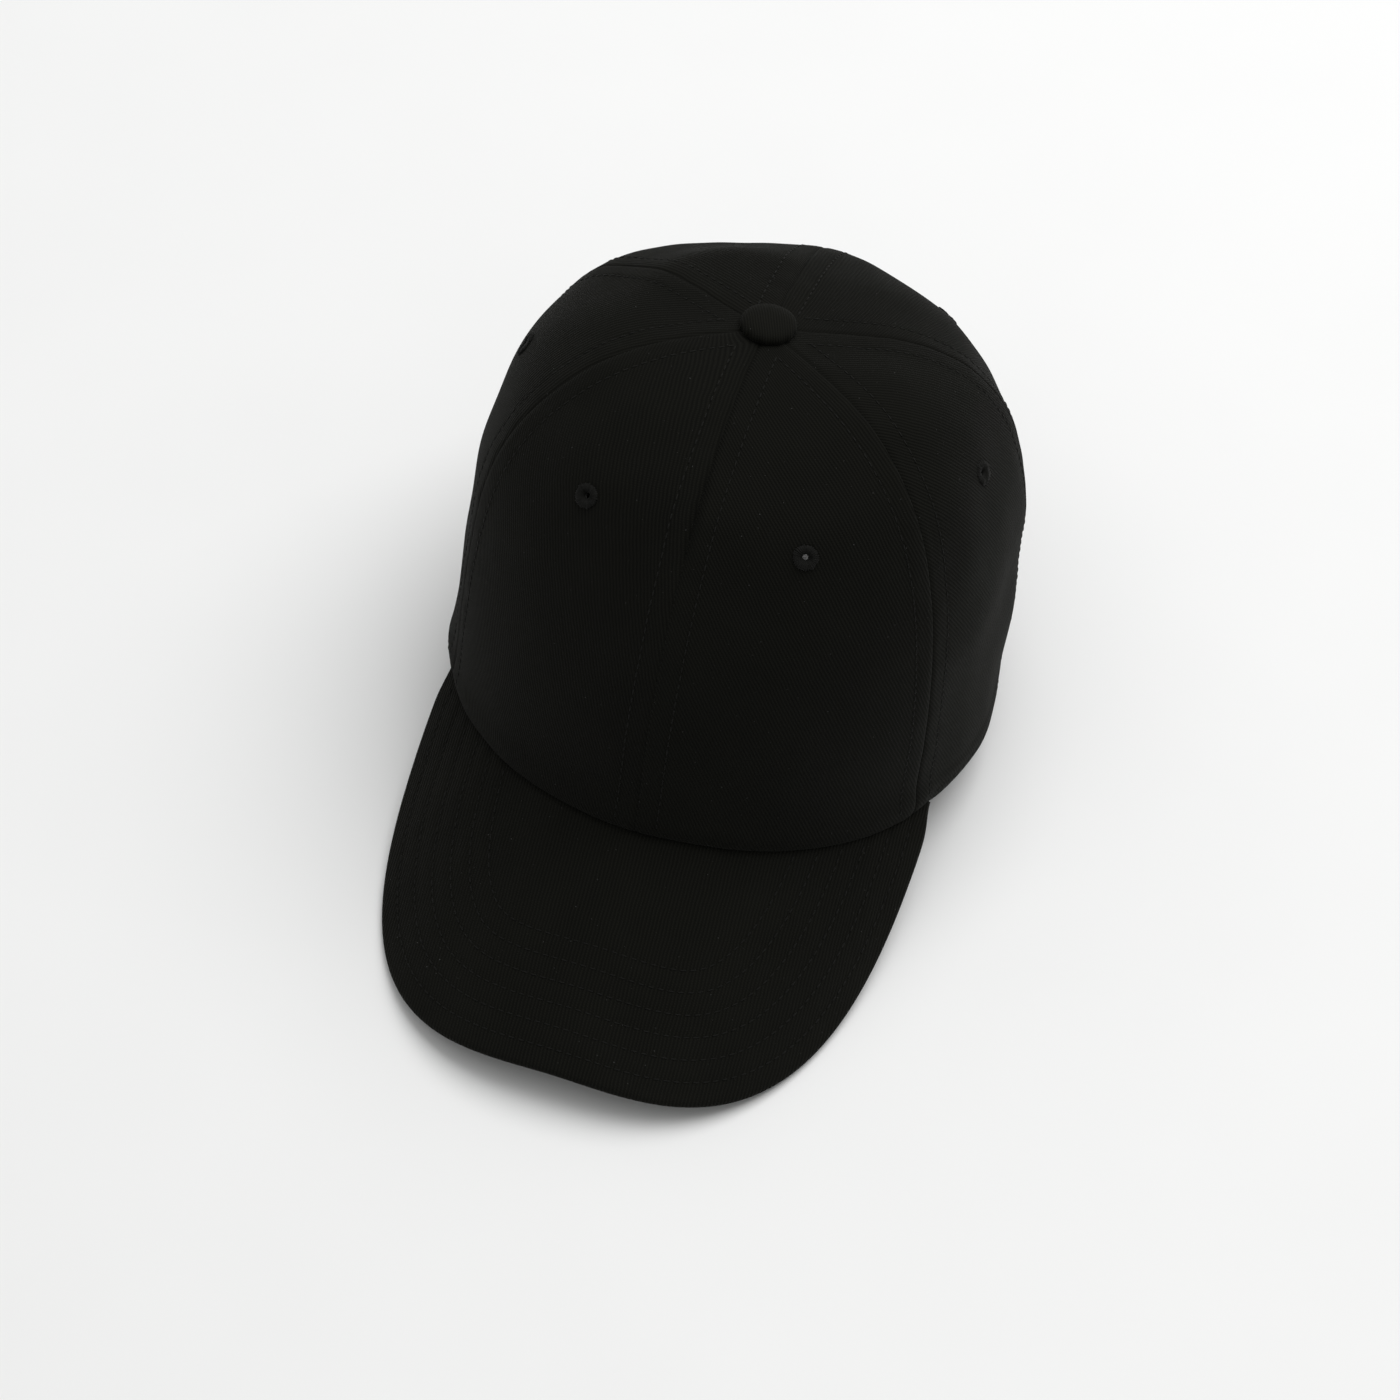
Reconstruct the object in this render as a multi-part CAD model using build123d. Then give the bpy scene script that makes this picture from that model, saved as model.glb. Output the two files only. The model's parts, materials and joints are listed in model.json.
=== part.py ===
from build123d import *
import os
from math import cos, degrees, hypot, pi, radians, sin, sqrt, tan

os.makedirs("parts", exist_ok=True)

# Crown, millimetres and degrees. The button's axis is Z, the visor points to -Y.
HALF_W = 84.0          # button axis to the side of the hem
FRONT = 90.0           # button axis to the front of the hem
BACK = 98.0            # button axis to the back of the hem
CROWN_H = 131.0        # back hem to the top of the crown
SEAM_1 = 58.0          # seam between front and side panels, from the front
SEAM_2 = 112.0         # seam between side and back panels
FULL_FRONT = 2.36      # fullness of the crown's profile: 2 is an ellipse
FULL_SIDE = 3.7
FULL_BACK = 2.7
FLAT = 0.04            # how far a panel is pulled flat between its seams
CLOTH = 1.0            # twill panel
BUCKRAM = 0.6
TAPE = 0.5
TAPE_W = 14.0
GAP = 0.05             # between layers of one body
CROWN_HOLE = 2.5       # radius left open under the button
ALLOWANCE = 6.5        # bare panel above the hem, inside

# Visor
SLOPE = 28.3           # fall of the visor's centre line
VISOR_R = 112.0        # radius it is curved to, side to side
VISOR_Z = 8.7          # height of its top where it meets the crown
VISOR_L = 66.2         # hem to front edge, in plan
VISOR_HALF = 78.5      # half its width
VISOR_CORNER = 2.75    # squareness of its outline
TEMPLE = 64.0          # where the visor ends on the hem
VISOR_IN = 4.0         # how far its covers run inside the hem
BOARD = 2.0
VISOR_CLOTH = 0.6
BOARD_IN = 3.0         # board's edge inside the covers' edge

# Sweatband
BAND_H = 32.0
BAND_T = 1.4
BAND_DEPTH = 2.6       # its outside, below the crown's outside
POCKET_DEPTH = 6.6     # the same where the strap runs behind it
BAND_END = 144.0

# Opening at the back
ARCH_R = 46.5
ARCH_RISE = 13.0
BIND_W = 6.5
BIND_T = 0.5

# Strap and buckle, about a vertical axis at (0, STRAP_Y)
STRAP_Y = 18.0
STRAP_R = 74.5         # outside of the strap
STRAP_T = 1.6
STRAP_LOW = 5.5
STRAP_HIGH = 23.5
STRAP_FROM = -50.0
STRAP_TO = 52.0
PLAY = 0.3
FRAME_FROM = 8.0
FRAME_TO = 31.0
RAIL_TO = 34.8
RAIL = 1.2
BAR_AT = 33.5
BAR_R = 0.9
PIN_AT = 27.5
PIN_R = 0.8
KNUCKLE_R = 1.7
TAB_PLY = 0.6

# Eyelets and button
EYELET_R = 3.6
EYELET_HOLE = 1.4
EYELET_AT = 0.572      # share of the profile's length, from the hem
EYELET_LIP = 0.5
BUTTON_R = 8.2
BUTTON_H = 4.9
POST_R = 1.5


def rim(a):
    """Plan distance from the button's axis to the hem, a degrees round from the front."""
    s = sin(radians(a)) / HALF_W
    c = cos(radians(a))
    c = c / FRONT if c > 0 else c / BACK
    return 1 / sqrt(s * s + c * c)


def visor_z(x, y):
    """Height of the visor's top over a plan point."""
    sag = VISOR_R - sqrt(VISOR_R ** 2 - x * x)
    return VISOR_Z + (y + FRONT) * tan(radians(SLOPE)) - sag / cos(radians(SLOPE))


def hem(a):
    """Height of the hem: on the visor as far as the temple, then easing to the back."""
    turn = radians(min(abs(a), TEMPLE))
    r = rim(degrees(turn))
    z = visor_z(r * sin(turn), -r * cos(turn))
    w = max(0.0, abs(a) - TEMPLE) / (180 - TEMPLE)
    return z * (1 - w * w * (3 - 2 * w))


def flatness(a):
    for low, high in ((0, SEAM_1), (SEAM_1, SEAM_2), (SEAM_2, 180)):
        if low <= abs(a) <= high:
            return FLAT * sin(pi * (abs(a) - low) / (high - low))
    return 0.0


def profile(a, f):
    """Radius and height of the crown's outside at angle a; f runs from 0 at the hem to 90."""
    c = cos(radians(f))
    s = sin(radians(f))
    turn = cos(radians(a))
    end = FULL_FRONT if turn > 0 else FULL_BACK
    n = FULL_SIDE + (end - FULL_SIDE) * turn * turn
    k = (c ** n + s ** n) ** (-1 / n)
    r = rim(a) * c * k * (1 - flatness(a) * s)
    return r, hem(a) + (CROWN_H - hem(a)) * s * k


def under(a, f, depth):
    """The same, depth mm below the outside."""
    r0, z0 = profile(a, max(f - 0.05, 0.0))
    r1, z1 = profile(a, f + 0.05)
    span = hypot(r1 - r0, z1 - z0)
    r, z = profile(a, f)
    return r - depth * (z1 - z0) / span, z + depth * (r1 - r0) / span


def at(a, r, z):
    return Vector(r * sin(radians(a)), -r * cos(radians(a)), z)


def solve(rising):
    """The f at which a rising function passes zero."""
    low = 0.0
    high = 89.9
    for _ in range(40):
        mid = (low + high) / 2
        if rising(mid) < 0:
            low = mid
        else:
            high = mid
    return low


def at_height(a, h):
    return solve(lambda f: profile(a, f)[1] - hem(a) - h)


def at_radius(a, r):
    return solve(lambda f: r - profile(a, f)[0])


def section(a, d0, d1, low, top):
    """Closed outline of a layer, cut by the upright plane at angle a."""
    f0 = at_height(a, low)
    f1 = at_radius(a, top)
    stations = [f0 + (f1 - f0) * i / 11 for i in range(12)]
    outer = [at(a, *under(a, f, d0)) for f in stations]
    inner = [at(a, *under(a, f, d1)) for f in reversed(stations)]
    edges = [
        Edge.make_spline(outer),
        Edge.make_line(outer[-1], inner[0]),
        Edge.make_spline(inner),
        Edge.make_line(inner[-1], outer[0]),
    ]
    return Wire(edges)


def gore(a0, a1, d0, d1, low=0.0, top=CROWN_HOLE, steps=4):
    """A layer of the crown between two angles."""
    angles = [a0 + (a1 - a0) * i / steps for i in range(steps + 1)]
    return Solid.make_loft([section(a, d0, d1, low, top) for a in angles])


def slab(a, width):
    """Upright slab along the seam at angle a."""
    return Rot(0, 0, a) * Pos(0, -65, 75) * Box(width, 130, 200)


def left(shape):
    return shape.mirror(Plane.YZ)


def arch(r):
    """Prism of the opening's outline, r to each side."""
    top = Pos(0, 80, ARCH_RISE) * Rot(90, 0, 0) * Cylinder(r, 80)
    return top + Pos(0, 80, ARCH_RISE / 2 - 10) * Box(2 * r, 80, ARCH_RISE + 20)


# Visor: layers of one cylinder, their edges square to it.
TILT = Plane(
    origin=(0, -FRONT, VISOR_Z),
    x_dir=(1, 0, 0),
    z_dir=(0, -sin(radians(SLOPE)), cos(radians(SLOPE))),
)


def outline_point(u, inset):
    """Plan point of the visor's outer edge; u runs from 0 at the temple to 90 at the front."""
    s = VISOR_L + FRONT - temple_y()
    x = (VISOR_HALF - inset) * cos(radians(u)) ** (2 / VISOR_CORNER)
    y = temple_y() + (s - inset) * sin(radians(u)) ** (2 / VISOR_CORNER)
    return x, -y


def temple_y():
    return rim(TEMPLE) * cos(radians(TEMPLE))


def visor_outline(inset, inside):
    """Plan outline: the outer edge, and an inner edge that follows the hem."""
    side = [Vector(*outline_point(u, inset), 0) for u in (0, 3, 9, 17, 26, 35, 44, 53, 62, 71, 80)]
    front = Vector(0, outline_point(90, inset)[1], 0)
    mirrored = [Vector(-p.X, p.Y, 0) for p in reversed(side)]
    end = TEMPLE - degrees(inset / rim(TEMPLE))
    angles = [-end + 2 * end * i / 12 for i in range(13)]
    hem_line = [at(a, rim(a) - inside, 0) for a in angles]
    outer = Edge.make_spline(side + [front] + mirrored, tangents=[(0, -1, 0), (0, 1, 0)])
    inner = Edge.make_spline(hem_line)
    return Wire([
        outer,
        Edge.make_line(mirrored[-1], hem_line[0]),
        inner,
        Edge.make_line(hem_line[-1], side[0]),
    ])


def cylinder_face(depth):
    """The visor's surface, depth mm below its top, larger than the visor."""
    r = VISOR_R - depth
    ends = [TILT.from_local_coords((r * sin(t), -110, r * cos(t) - VISOR_R)) for t in (-0.82, 0, 0.82)]
    arc = Edge.make_three_point_arc(*ends)
    return Face.extrude(arc, TILT.y_dir * 190)


def down(face, thickness):
    """Thicken a visor face towards the visor's underside."""
    solid = Solid.thicken(face, thickness)
    if solid.bounding_box().max.Z > face.bounding_box().max.Z + thickness / 4:
        solid = Solid.thicken(face, -thickness)
    return solid


def visor_layer(depth, thickness, inset, inside):
    prism = Solid.extrude(Face(visor_outline(inset, inside)), Vector(0, 0, 160))
    prism = prism.moved(Location((0, 0, -90)))
    face = (cylinder_face(depth) & prism).faces()[0]
    return down(face, thickness)


def visor():
    full = BOARD + 2 * VISOR_CLOTH + 2 * GAP
    whole = visor_layer(0, full, 0, VISOR_IN)
    board = visor_layer(VISOR_CLOTH + GAP, BOARD, BOARD_IN, 2.0)
    cavity = visor_layer(VISOR_CLOTH, full - 2 * VISOR_CLOTH, BOARD_IN - 0.15, 2.15)
    upper = down(cylinder_face(0), full / 2 - GAP / 2)
    lower = down(cylinder_face(full / 2 + GAP / 2), full)
    parts["visor_board"] = board
    parts["visor_cover_top"] = (whole & upper) - cavity
    parts["visor_cover_under"] = (whole & lower) - cavity
    return down_envelope(full)


def down_envelope(full):
    """What the crown and the sweatband are cut back from."""
    return visor_layer(-GAP, full + GAP, 0, VISOR_IN + 0.1)


def panels(cutter):
    for name, a0, a1 in (("front", 0, SEAM_1), ("side", SEAM_1, SEAM_2), ("back", SEAM_2, 180)):
        panel = gore(a0, a1, 0, CLOTH)
        if name == "back":
            panel = panel - arch(ARCH_R + 1.5)
        else:
            panel = panel - cutter
        parts["panel_" + name + "_right"] = panel
    stiff = gore(0, SEAM_1, CLOTH + GAP, CLOTH + GAP + BUCKRAM, ALLOWANCE)
    parts["buckram_right"] = stiff - slab(SEAM_1, TAPE_W + 2)


def surface(a, f):
    return at(a, *profile(a, f))


def eyelet_plane(a):
    """Plane on the crown's outside where a panel's eyelet sits."""
    stations = [i * 0.5 for i in range(180)]
    points = [surface(a, f) for f in stations]
    steps = [(points[i + 1] - points[i]).length for i in range(len(points) - 1)]
    run = 0.0
    f = 0.0
    for i, step in enumerate(steps):
        run += step
        if run >= EYELET_AT * sum(steps):
            f = stations[i]
            break
    along = surface(a, f + 0.5) - surface(a, f - 0.5)
    across = surface(a + 0.5, f) - surface(a - 0.5, f)
    return Plane(origin=surface(a, f), x_dir=across, z_dir=across.cross(along))


def eyelets():
    middles = (("front", SEAM_1 / 2), ("side", (SEAM_1 + SEAM_2) / 2), ("back", (SEAM_2 + 180) / 2))
    for name, a in middles:
        place = eyelet_plane(a).location
        panel = "panel_" + name + "_right"
        layers = [panel, "buckram_right"] if name == "front" else [panel]
        depth = CLOTH + (BUCKRAM + GAP if name == "front" else 0.0)
        body = Cylinder(EYELET_R, depth + 2 * EYELET_LIP)
        body = fillet(body.edges().filter_by(GeomType.CIRCLE), 0.3)
        ring = body - Cylinder(EYELET_HOLE, 20)
        ring = place * Pos(0, 0, -depth / 2) * ring
        for layer in layers:
            parts[layer] = parts[layer] - place * Cylinder(2.0, 12)
            ring = ring - parts[layer]
        parts["eyelet_" + name + "_right"] = ring


def tape(a, reach, depth, low):
    halves = gore(a - reach, a, depth, depth + TAPE, low, 4.0, 3)
    halves = halves + gore(a, a + reach, depth, depth + TAPE, low, 4.0, 3)
    return halves & slab(a, TAPE_W)


def tapes():
    under_cloth = CLOTH + GAP
    parts["tape_side_front_right"] = tape(SEAM_1, 27, under_cloth, ALLOWANCE)
    parts["tape_side_back_right"] = tape(SEAM_2, 27, under_cloth, ALLOWANCE)
    half = gore(0, 28, under_cloth + BUCKRAM + GAP, under_cloth + BUCKRAM + GAP + TAPE, ALLOWANCE, 4.0, 3)
    parts["tape_front"] = (half + left(half)) & slab(0, TAPE_W)
    half = gore(153, 180, under_cloth, under_cloth + TAPE, ALLOWANCE, 4.0, 3)
    parts["tape_back"] = ((half + left(half)) & slab(180, TAPE_W)) - arch(ARCH_R + BIND_W + 0.5)


def binding():
    half = gore(138, 180, -BIND_T, CLOTH + BIND_T, 0.0, 20.0)
    ring = (half + left(half)) & arch(ARCH_R + BIND_W)
    ring = ring - arch(ARCH_R)
    ring = ring - parts["panel_back_right"] - left(parts["panel_back_right"])
    parts["arch_binding"] = ring


def band_section(a):
    """Sewn edge against the panels, then a band standing free of them."""
    w = min(max((abs(a) - 117) / 13, 0.0), 1.0)
    w = w * w * (3 - 2 * w)
    out = BAND_DEPTH + (POCKET_DEPTH - BAND_DEPTH) * w
    sewn = ALLOWANCE + (3.0 - ALLOWANCE) * w
    edge = CLOTH + 2 * GAP
    corners = (
        (edge, 0), (edge, sewn - 0.1), (out, sewn - 0.1), (out, 18), (out, BAND_H),
        (out + BAND_T, BAND_H), (out + BAND_T, 16), (out + BAND_T, 0),
    )
    points = [at(a, *under(a, at_height(a, h), d)) for d, h in corners]
    return Wire([Edge.make_line(points[i - 1], points[i]) for i in range(len(points))])


def sweatband(cutter):
    side = (SEAM_1 + SEAM_2) / 2
    turns = [SEAM_1 / 4, SEAM_1 / 2, SEAM_1 * 3 / 4, SEAM_1, (SEAM_1 + side) / 2, side,
             (side + SEAM_2) / 2, SEAM_2, 117, 121.5, 126, 130, 137, BAND_END]
    turns = [-a for a in reversed(turns)] + [0] + turns
    band = Solid.make_loft([band_section(a) for a in turns])
    parts["sweatband"] = band - cutter


def button():
    low = CROWN_H + GAP
    shell_low = low + VISOR_CLOTH + GAP
    top = low + BUTTON_H
    skin = VISOR_CLOTH

    def dome(r, z0, z1):
        """Domed disc from z0 to z1."""
        curve = Edge.make_three_point_arc((0, 0, z1), (r * 0.7, 0, z1 - (z1 - z0) * 0.27), (r, 0, z0 + 0.5))
        face = Face(Wire([
            curve,
            Edge.make_line((r, 0, z0 + 0.5), (r - 0.4, 0, z0)),
            Edge.make_line((r - 0.4, 0, z0), (0, 0, z0)),
            Edge.make_line((0, 0, z0), (0, 0, z1)),
        ]))
        return Solid.revolve(face, 360, Axis.Z)

    outer = dome(BUTTON_R, low, top)
    hollow = dome(BUTTON_R - skin, low + skin, top - skin)
    parts["button_cover"] = outer - hollow - Pos(0, 0, low) * Cylinder(5.0, 3)
    parts["button_shell"] = dome(BUTTON_R - skin - GAP, shell_low, top - skin - GAP)
    washer_top = CROWN_H - CLOTH - BUCKRAM - TAPE - 3 * GAP - 0.08
    washer = Pos(0, 0, washer_top - 0.3) * Cylinder(5.0, 0.6)
    length = shell_low - washer_top + 1.0
    parts["button_washer"] = washer - Pos(0, 0, washer_top) * Cylinder(POST_R, 5)
    parts["button_post"] = Pos(0, 0, shell_low - length / 2) * Cylinder(POST_R, length)


def arc_block(r0, r1, a0, a1, z0, z1):
    """Block of the ring about the strap's axis, angles from the back towards the right."""
    start = Vector(sin(radians(a1)), cos(radians(a1)), 0)
    base = Plane(origin=(0, STRAP_Y, z0), x_dir=start, z_dir=(0, 0, 1))
    return Solid.make_cylinder(r1, z1 - z0, base, a1 - a0) - Solid.make_cylinder(r0, z1 - z0, base)


def eased(block, ring, radius=0.3):
    """The block with the edges on its outermost ring rounded."""
    edges = [e for e in block.edges()
             if all(abs(sqrt((e @ t).X ** 2 + ((e @ t).Y - STRAP_Y) ** 2) - ring) < 0.01 for t in (0, 0.5, 1))]
    return fillet(edges, radius)


def rod(radius, ring_r, a, z0, z1):
    """Upright rod on the ring about the strap's axis."""
    x = ring_r * sin(radians(a))
    y = STRAP_Y + ring_r * cos(radians(a))
    return Pos(x, y, (z0 + z1) / 2) * Cylinder(radius, z1 - z0)


STRAP_IN = STRAP_R - STRAP_T
RAIL_LOW = STRAP_LOW - PLAY - 0.1
RAIL_HIGH = STRAP_HIGH + PLAY + 0.1
PIN_RING = STRAP_R + PLAY + KNUCKLE_R
BAR_RING = STRAP_R + PLAY + TAB_PLY + GAP + BAR_R


def strap():
    parts["strap"] = arc_block(STRAP_IN, STRAP_R, STRAP_FROM, STRAP_TO, STRAP_LOW, STRAP_HIGH)


def buckle():
    inner = STRAP_IN - PLAY - 0.05
    outer = PIN_RING + PIN_R + 0.8
    plate = arc_block(inner - 0.95, inner, FRAME_FROM, FRAME_TO, RAIL_LOW - RAIL, RAIL_HIGH + RAIL)
    lower = arc_block(inner - 0.95, outer, FRAME_FROM, RAIL_TO, RAIL_LOW - RAIL, RAIL_LOW)
    upper = arc_block(inner - 0.95, outer, FRAME_FROM, RAIL_TO, RAIL_HIGH, RAIL_HIGH + RAIL)
    front_bar = arc_block(STRAP_R + PLAY + 0.05, outer - 0.8, FRAME_FROM, FRAME_FROM + 1.0, RAIL_LOW, RAIL_HIGH)
    lower = eased(lower, outer)
    upper = eased(upper, outer)
    tab_bar = rod(BAR_R, BAR_RING, BAR_AT, RAIL_LOW - RAIL / 2, RAIL_HIGH + RAIL / 2)
    pin = rod(PIN_R, PIN_RING, PIN_AT, RAIL_LOW - RAIL - 0.3, RAIL_HIGH + RAIL + 0.3)
    parts["buckle_frame"] = plate + lower + upper + front_bar + tab_bar - pin
    parts["buckle_pin"] = pin
    lever = arc_block(PIN_RING - 1.0, PIN_RING, FRAME_FROM + 1.7, PIN_AT, STRAP_LOW, STRAP_HIGH)
    lever = eased(lever, PIN_RING)
    lever = lever + rod(KNUCKLE_R, PIN_RING, PIN_AT, STRAP_LOW, STRAP_HIGH)
    parts["buckle_lever"] = lever - rod(PIN_R + 0.05, PIN_RING, PIN_AT, 0, 30)


def tab():
    low = STRAP_LOW + 0.5
    high = STRAP_HIGH - 0.5
    ply = STRAP_R + PLAY
    body = rod(BAR_R + GAP + TAB_PLY, BAR_RING, BAR_AT, low, high)
    body = body + arc_block(ply, ply + 2 * TAB_PLY, BAR_AT, STRAP_TO, low, high)
    body = body + arc_block(ply, ply + 2.2, 44.0, STRAP_TO, low, high)
    body = body - rod(BAR_R + GAP, BAR_RING, BAR_AT, 0, 30)
    body = body - parts["arch_binding"] - parts["panel_back_right"]
    parts["buckle_tab"] = body


def mirror_pairs():
    for name in list(parts):
        if name.endswith("_right"):
            parts[name.replace("_right", "_left")] = left(parts[name])


def resting_lean():
    """Lean that puts the visor's corners and the back hem on one floor."""
    front = [(p.Y, p.Z) for p in parts["visor_cover_under"].tessellate(0.1)[0]]
    back = [(p.Y, p.Z) for p in parts["arch_binding"].tessellate(0.1)[0]]
    low = 0.0
    high = 30.0
    for _ in range(30):
        lean = (low + high) / 2
        s = sin(radians(lean))
        c = cos(radians(lean))
        if min(z * c - y * s for y, z in front) < min(z * c - y * s for y, z in back):
            low = lean
        else:
            high = lean
    return lean


def place():
    """Turn the cap onto the floor and centre it over the origin."""
    lean = resting_lean()
    turned = {name: Rot(-lean, 0, 0) * shape for name, shape in parts.items()}
    corners = [point for shape in turned.values() for point in shape.tessellate(0.1)[0]]
    low = min(point.Z for point in corners)
    middle = (min(point.Y for point in corners) + max(point.Y for point in corners)) / 2
    print("visor low", min(point.Z for point in turned["visor_cover_under"].tessellate(0.1)[0]) - low)
    print("heel low", min(point.Z for point in turned["arch_binding"].tessellate(0.1)[0]) - low)
    shift = Pos(0, -middle, -low)
    print("lean", round(lean, 4), "shift", round(-middle, 4), round(-low, 4))
    move = shift * Rot(-lean, 0, 0)
    for label, spot in (("strap axis", (0, STRAP_Y, 14.5)), ("lever pin", lever_pin())):
        print(label, tuple((move * Pos(*spot)).position))
    print("up", tuple((Rot(-lean, 0, 0) * Pos(0, 0, 1)).position))
    return {name: shift * shape for name, shape in turned.items()}


def lever_pin():
    return PIN_RING * sin(radians(PIN_AT)), STRAP_Y + PIN_RING * cos(radians(PIN_AT)), 14.5


parts = {}
visor_cutter = visor()
panels(visor_cutter)
eyelets()
tapes()
binding()
sweatband(visor_cutter)
button()
strap()
buckle()
tab()
mirror_pairs()
for node, solid in place().items():
    export_step(solid, "parts/" + node + ".step")
    print(node, len(solid.solids()), round(solid.volume, 1))
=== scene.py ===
import json
import math

import bpy
import numpy as np
from bpy.props import FloatProperty, FloatVectorProperty, PointerProperty
from mathutils import Matrix, Vector


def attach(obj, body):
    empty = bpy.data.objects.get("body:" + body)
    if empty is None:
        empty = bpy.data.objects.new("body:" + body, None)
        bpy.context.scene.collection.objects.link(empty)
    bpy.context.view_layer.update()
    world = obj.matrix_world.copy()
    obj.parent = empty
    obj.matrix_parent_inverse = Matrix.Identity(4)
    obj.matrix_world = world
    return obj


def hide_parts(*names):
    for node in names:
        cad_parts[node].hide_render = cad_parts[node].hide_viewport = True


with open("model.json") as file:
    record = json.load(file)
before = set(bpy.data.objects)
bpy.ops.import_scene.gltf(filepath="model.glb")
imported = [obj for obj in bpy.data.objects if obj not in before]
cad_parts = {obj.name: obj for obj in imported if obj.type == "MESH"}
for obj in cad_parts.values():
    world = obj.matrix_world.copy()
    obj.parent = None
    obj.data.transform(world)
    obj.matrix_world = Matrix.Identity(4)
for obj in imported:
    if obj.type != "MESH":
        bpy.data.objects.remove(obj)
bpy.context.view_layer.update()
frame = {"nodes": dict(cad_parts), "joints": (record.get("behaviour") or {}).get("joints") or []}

bl_info = {
    "name": "Six-panel cap",
    "version": (1, 0, 0),
    "blender": (4, 5, 0),
    "location": "3D View > Sidebar > Cap",
    "description": "Builds a soft six-panel cap around its packed frame",
    "category": "Object",
}

MM = 0.001

# The cap's own frame, in millimetres: the button's axis is Z and the visor points to -Y.
HALF_W, FRONT, BACK, CROWN_H = 84.0, 90.0, 98.0, 131.0
FULL_FRONT, FULL_SIDE, FULL_BACK, PULLED_FLAT = 2.36, 3.7, 2.7, 0.04
CROWN_HOLE = 2.5
SEAM_1, SEAM_2 = 58.0, 112.0
SEAM_ANGLES = (-180.0, -SEAM_2, -SEAM_1, 0.0, SEAM_1, SEAM_2, 180.0)
TEMPLE = 64.0
SLOPE, VISOR_R, VISOR_Z, VISOR_L, VISOR_HALF, VISOR_CORNER = 28.3, 112.0, 8.7, 66.2, 78.5, 2.75
VISOR_THICK, VISOR_IN, FIRST_ROW, ROWS = 3.3, 4.0, 7.0, 6
VISOR_SIDES = (("top", 1, 41), ("under", -1, 57))     # name, which way it faces, seed of its ripples
ARCH_R, ARCH_RISE = 46.5, 13.0
BACK_RADIUS = 92.0     # about the crown's radius at the back opening, to start a search from
BAND_END, BAND_T, BAND_DEPTH, POCKET_DEPTH = 144.0, 1.4, 2.6, 6.6
POCKET_FROM, POCKET_FULL = 117.0, 130.0
TAPE_W, TAPE_T, TAPE_DEPTH, TAPE_DEPTH_FRONT, ALLOWANCE = 14.0, 0.5, 1.05, 1.7, 6.5
STRAP_Y, STRAP_R, STRAP_T, STRAP_LOW, STRAP_HIGH = 18.0, 74.5, 1.6, 5.5, 23.5
STRAP_MID = (STRAP_LOW + STRAP_HIGH) / 2
STRAP_FROM, STRAP_TO = -50.0, 52.0
BAR_AT, BAR_RING, TAB_LOOP, TAB_PLY, TAB_TOP = 33.5, 76.35, 1.25, 0.6, 75.78
EYELET_AT = 0.572
CLOTH, BUTTON_LIFT = 1.0, 0.05
PANELS = {
    "front_right": (0.0, SEAM_1), "side_right": (SEAM_1, SEAM_2), "back_right": (SEAM_2, 180.0),
    "front_left": (-SEAM_1, 0.0), "side_left": (-SEAM_2, -SEAM_1), "back_left": (-180.0, -SEAM_2),
}


def cap_matrix():
    """From the cap's own frame to the row frame, read from the strap's joint."""
    joint = next(j for j in frame["joints"] if j["name"] == "strap_slide")
    up = Vector(joint["axis"]).normalized()
    right = Vector((1, 0, 0))
    back = up.cross(right)
    spot = Vector(joint["pos_m"])
    origin = spot - back * STRAP_Y * MM - up * STRAP_MID * MM
    m = Matrix((right, back, up)).transposed().to_4x4()
    m.translation = origin
    return m


CAP = cap_matrix()
CAP_TURN = np.array(CAP.to_3x3())
CAP_SHIFT = np.array(CAP.translation)


def placed(points):
    """Points in the cap's frame, mm, as row-frame metres."""
    return np.asarray(points) * MM @ CAP_TURN.T + CAP_SHIFT


def turned(vectors):
    """Directions in the cap's frame as row-frame directions."""
    return np.asarray(vectors) @ CAP_TURN.T


# ---------------------------------------------------------------- shape of the crown

def rim(a):
    """Radius of the hem at angle a, degrees from the front."""
    s = np.sin(np.radians(a)) / HALF_W
    c = np.cos(np.radians(a))
    c = np.where(c > 0, c / FRONT, c / BACK)
    return 1 / np.sqrt(s * s + c * c)


def visor_z(x, y):
    """Height of the visor's top."""
    sag = VISOR_R - np.sqrt(VISOR_R ** 2 - x * x)
    slope = math.radians(SLOPE)
    return VISOR_Z + (y + FRONT) * math.tan(slope) - sag / math.cos(slope)


def hem(a):
    """Height of the hem: it follows the visor to the temples, then falls to the back."""
    turn = np.radians(np.minimum(np.abs(a), TEMPLE))
    r = rim(np.degrees(turn))
    z = visor_z(r * np.sin(turn), -r * np.cos(turn))
    w = np.clip(np.abs(a) - TEMPLE, 0, None) / (180 - TEMPLE)
    return z * (1 - w * w * (3 - 2 * w))


def flatness(a):
    """How far a panel is pulled in between its seams, as a share of its radius."""
    a = np.abs(a)
    out = np.zeros_like(a)
    for low, high in ((0, SEAM_1), (SEAM_1, SEAM_2), (SEAM_2, 180.0)):
        here = (a >= low) & (a <= high)
        out = np.where(here, np.sin(np.pi * (a - low) / (high - low)), out)
    return PULLED_FLAT * out


def profile(a, f):
    """Radius and height of the crown at angle a and station f, both in degrees."""
    c = np.cos(np.radians(f))
    s = np.sin(np.radians(f))
    turn = np.cos(np.radians(a))
    end = np.where(turn > 0, FULL_FRONT, FULL_BACK)
    n = FULL_SIDE + (end - FULL_SIDE) * turn ** 2
    k = (c ** n + s ** n) ** (-1 / n)
    r = rim(a) * c * k * (1 - flatness(a) * s)
    return r, hem(a) + (CROWN_H - hem(a)) * s * k


TABLE_A = np.arange(-180.0, 181.0)
TABLE_S = np.linspace(0, 1, 241)


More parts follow.
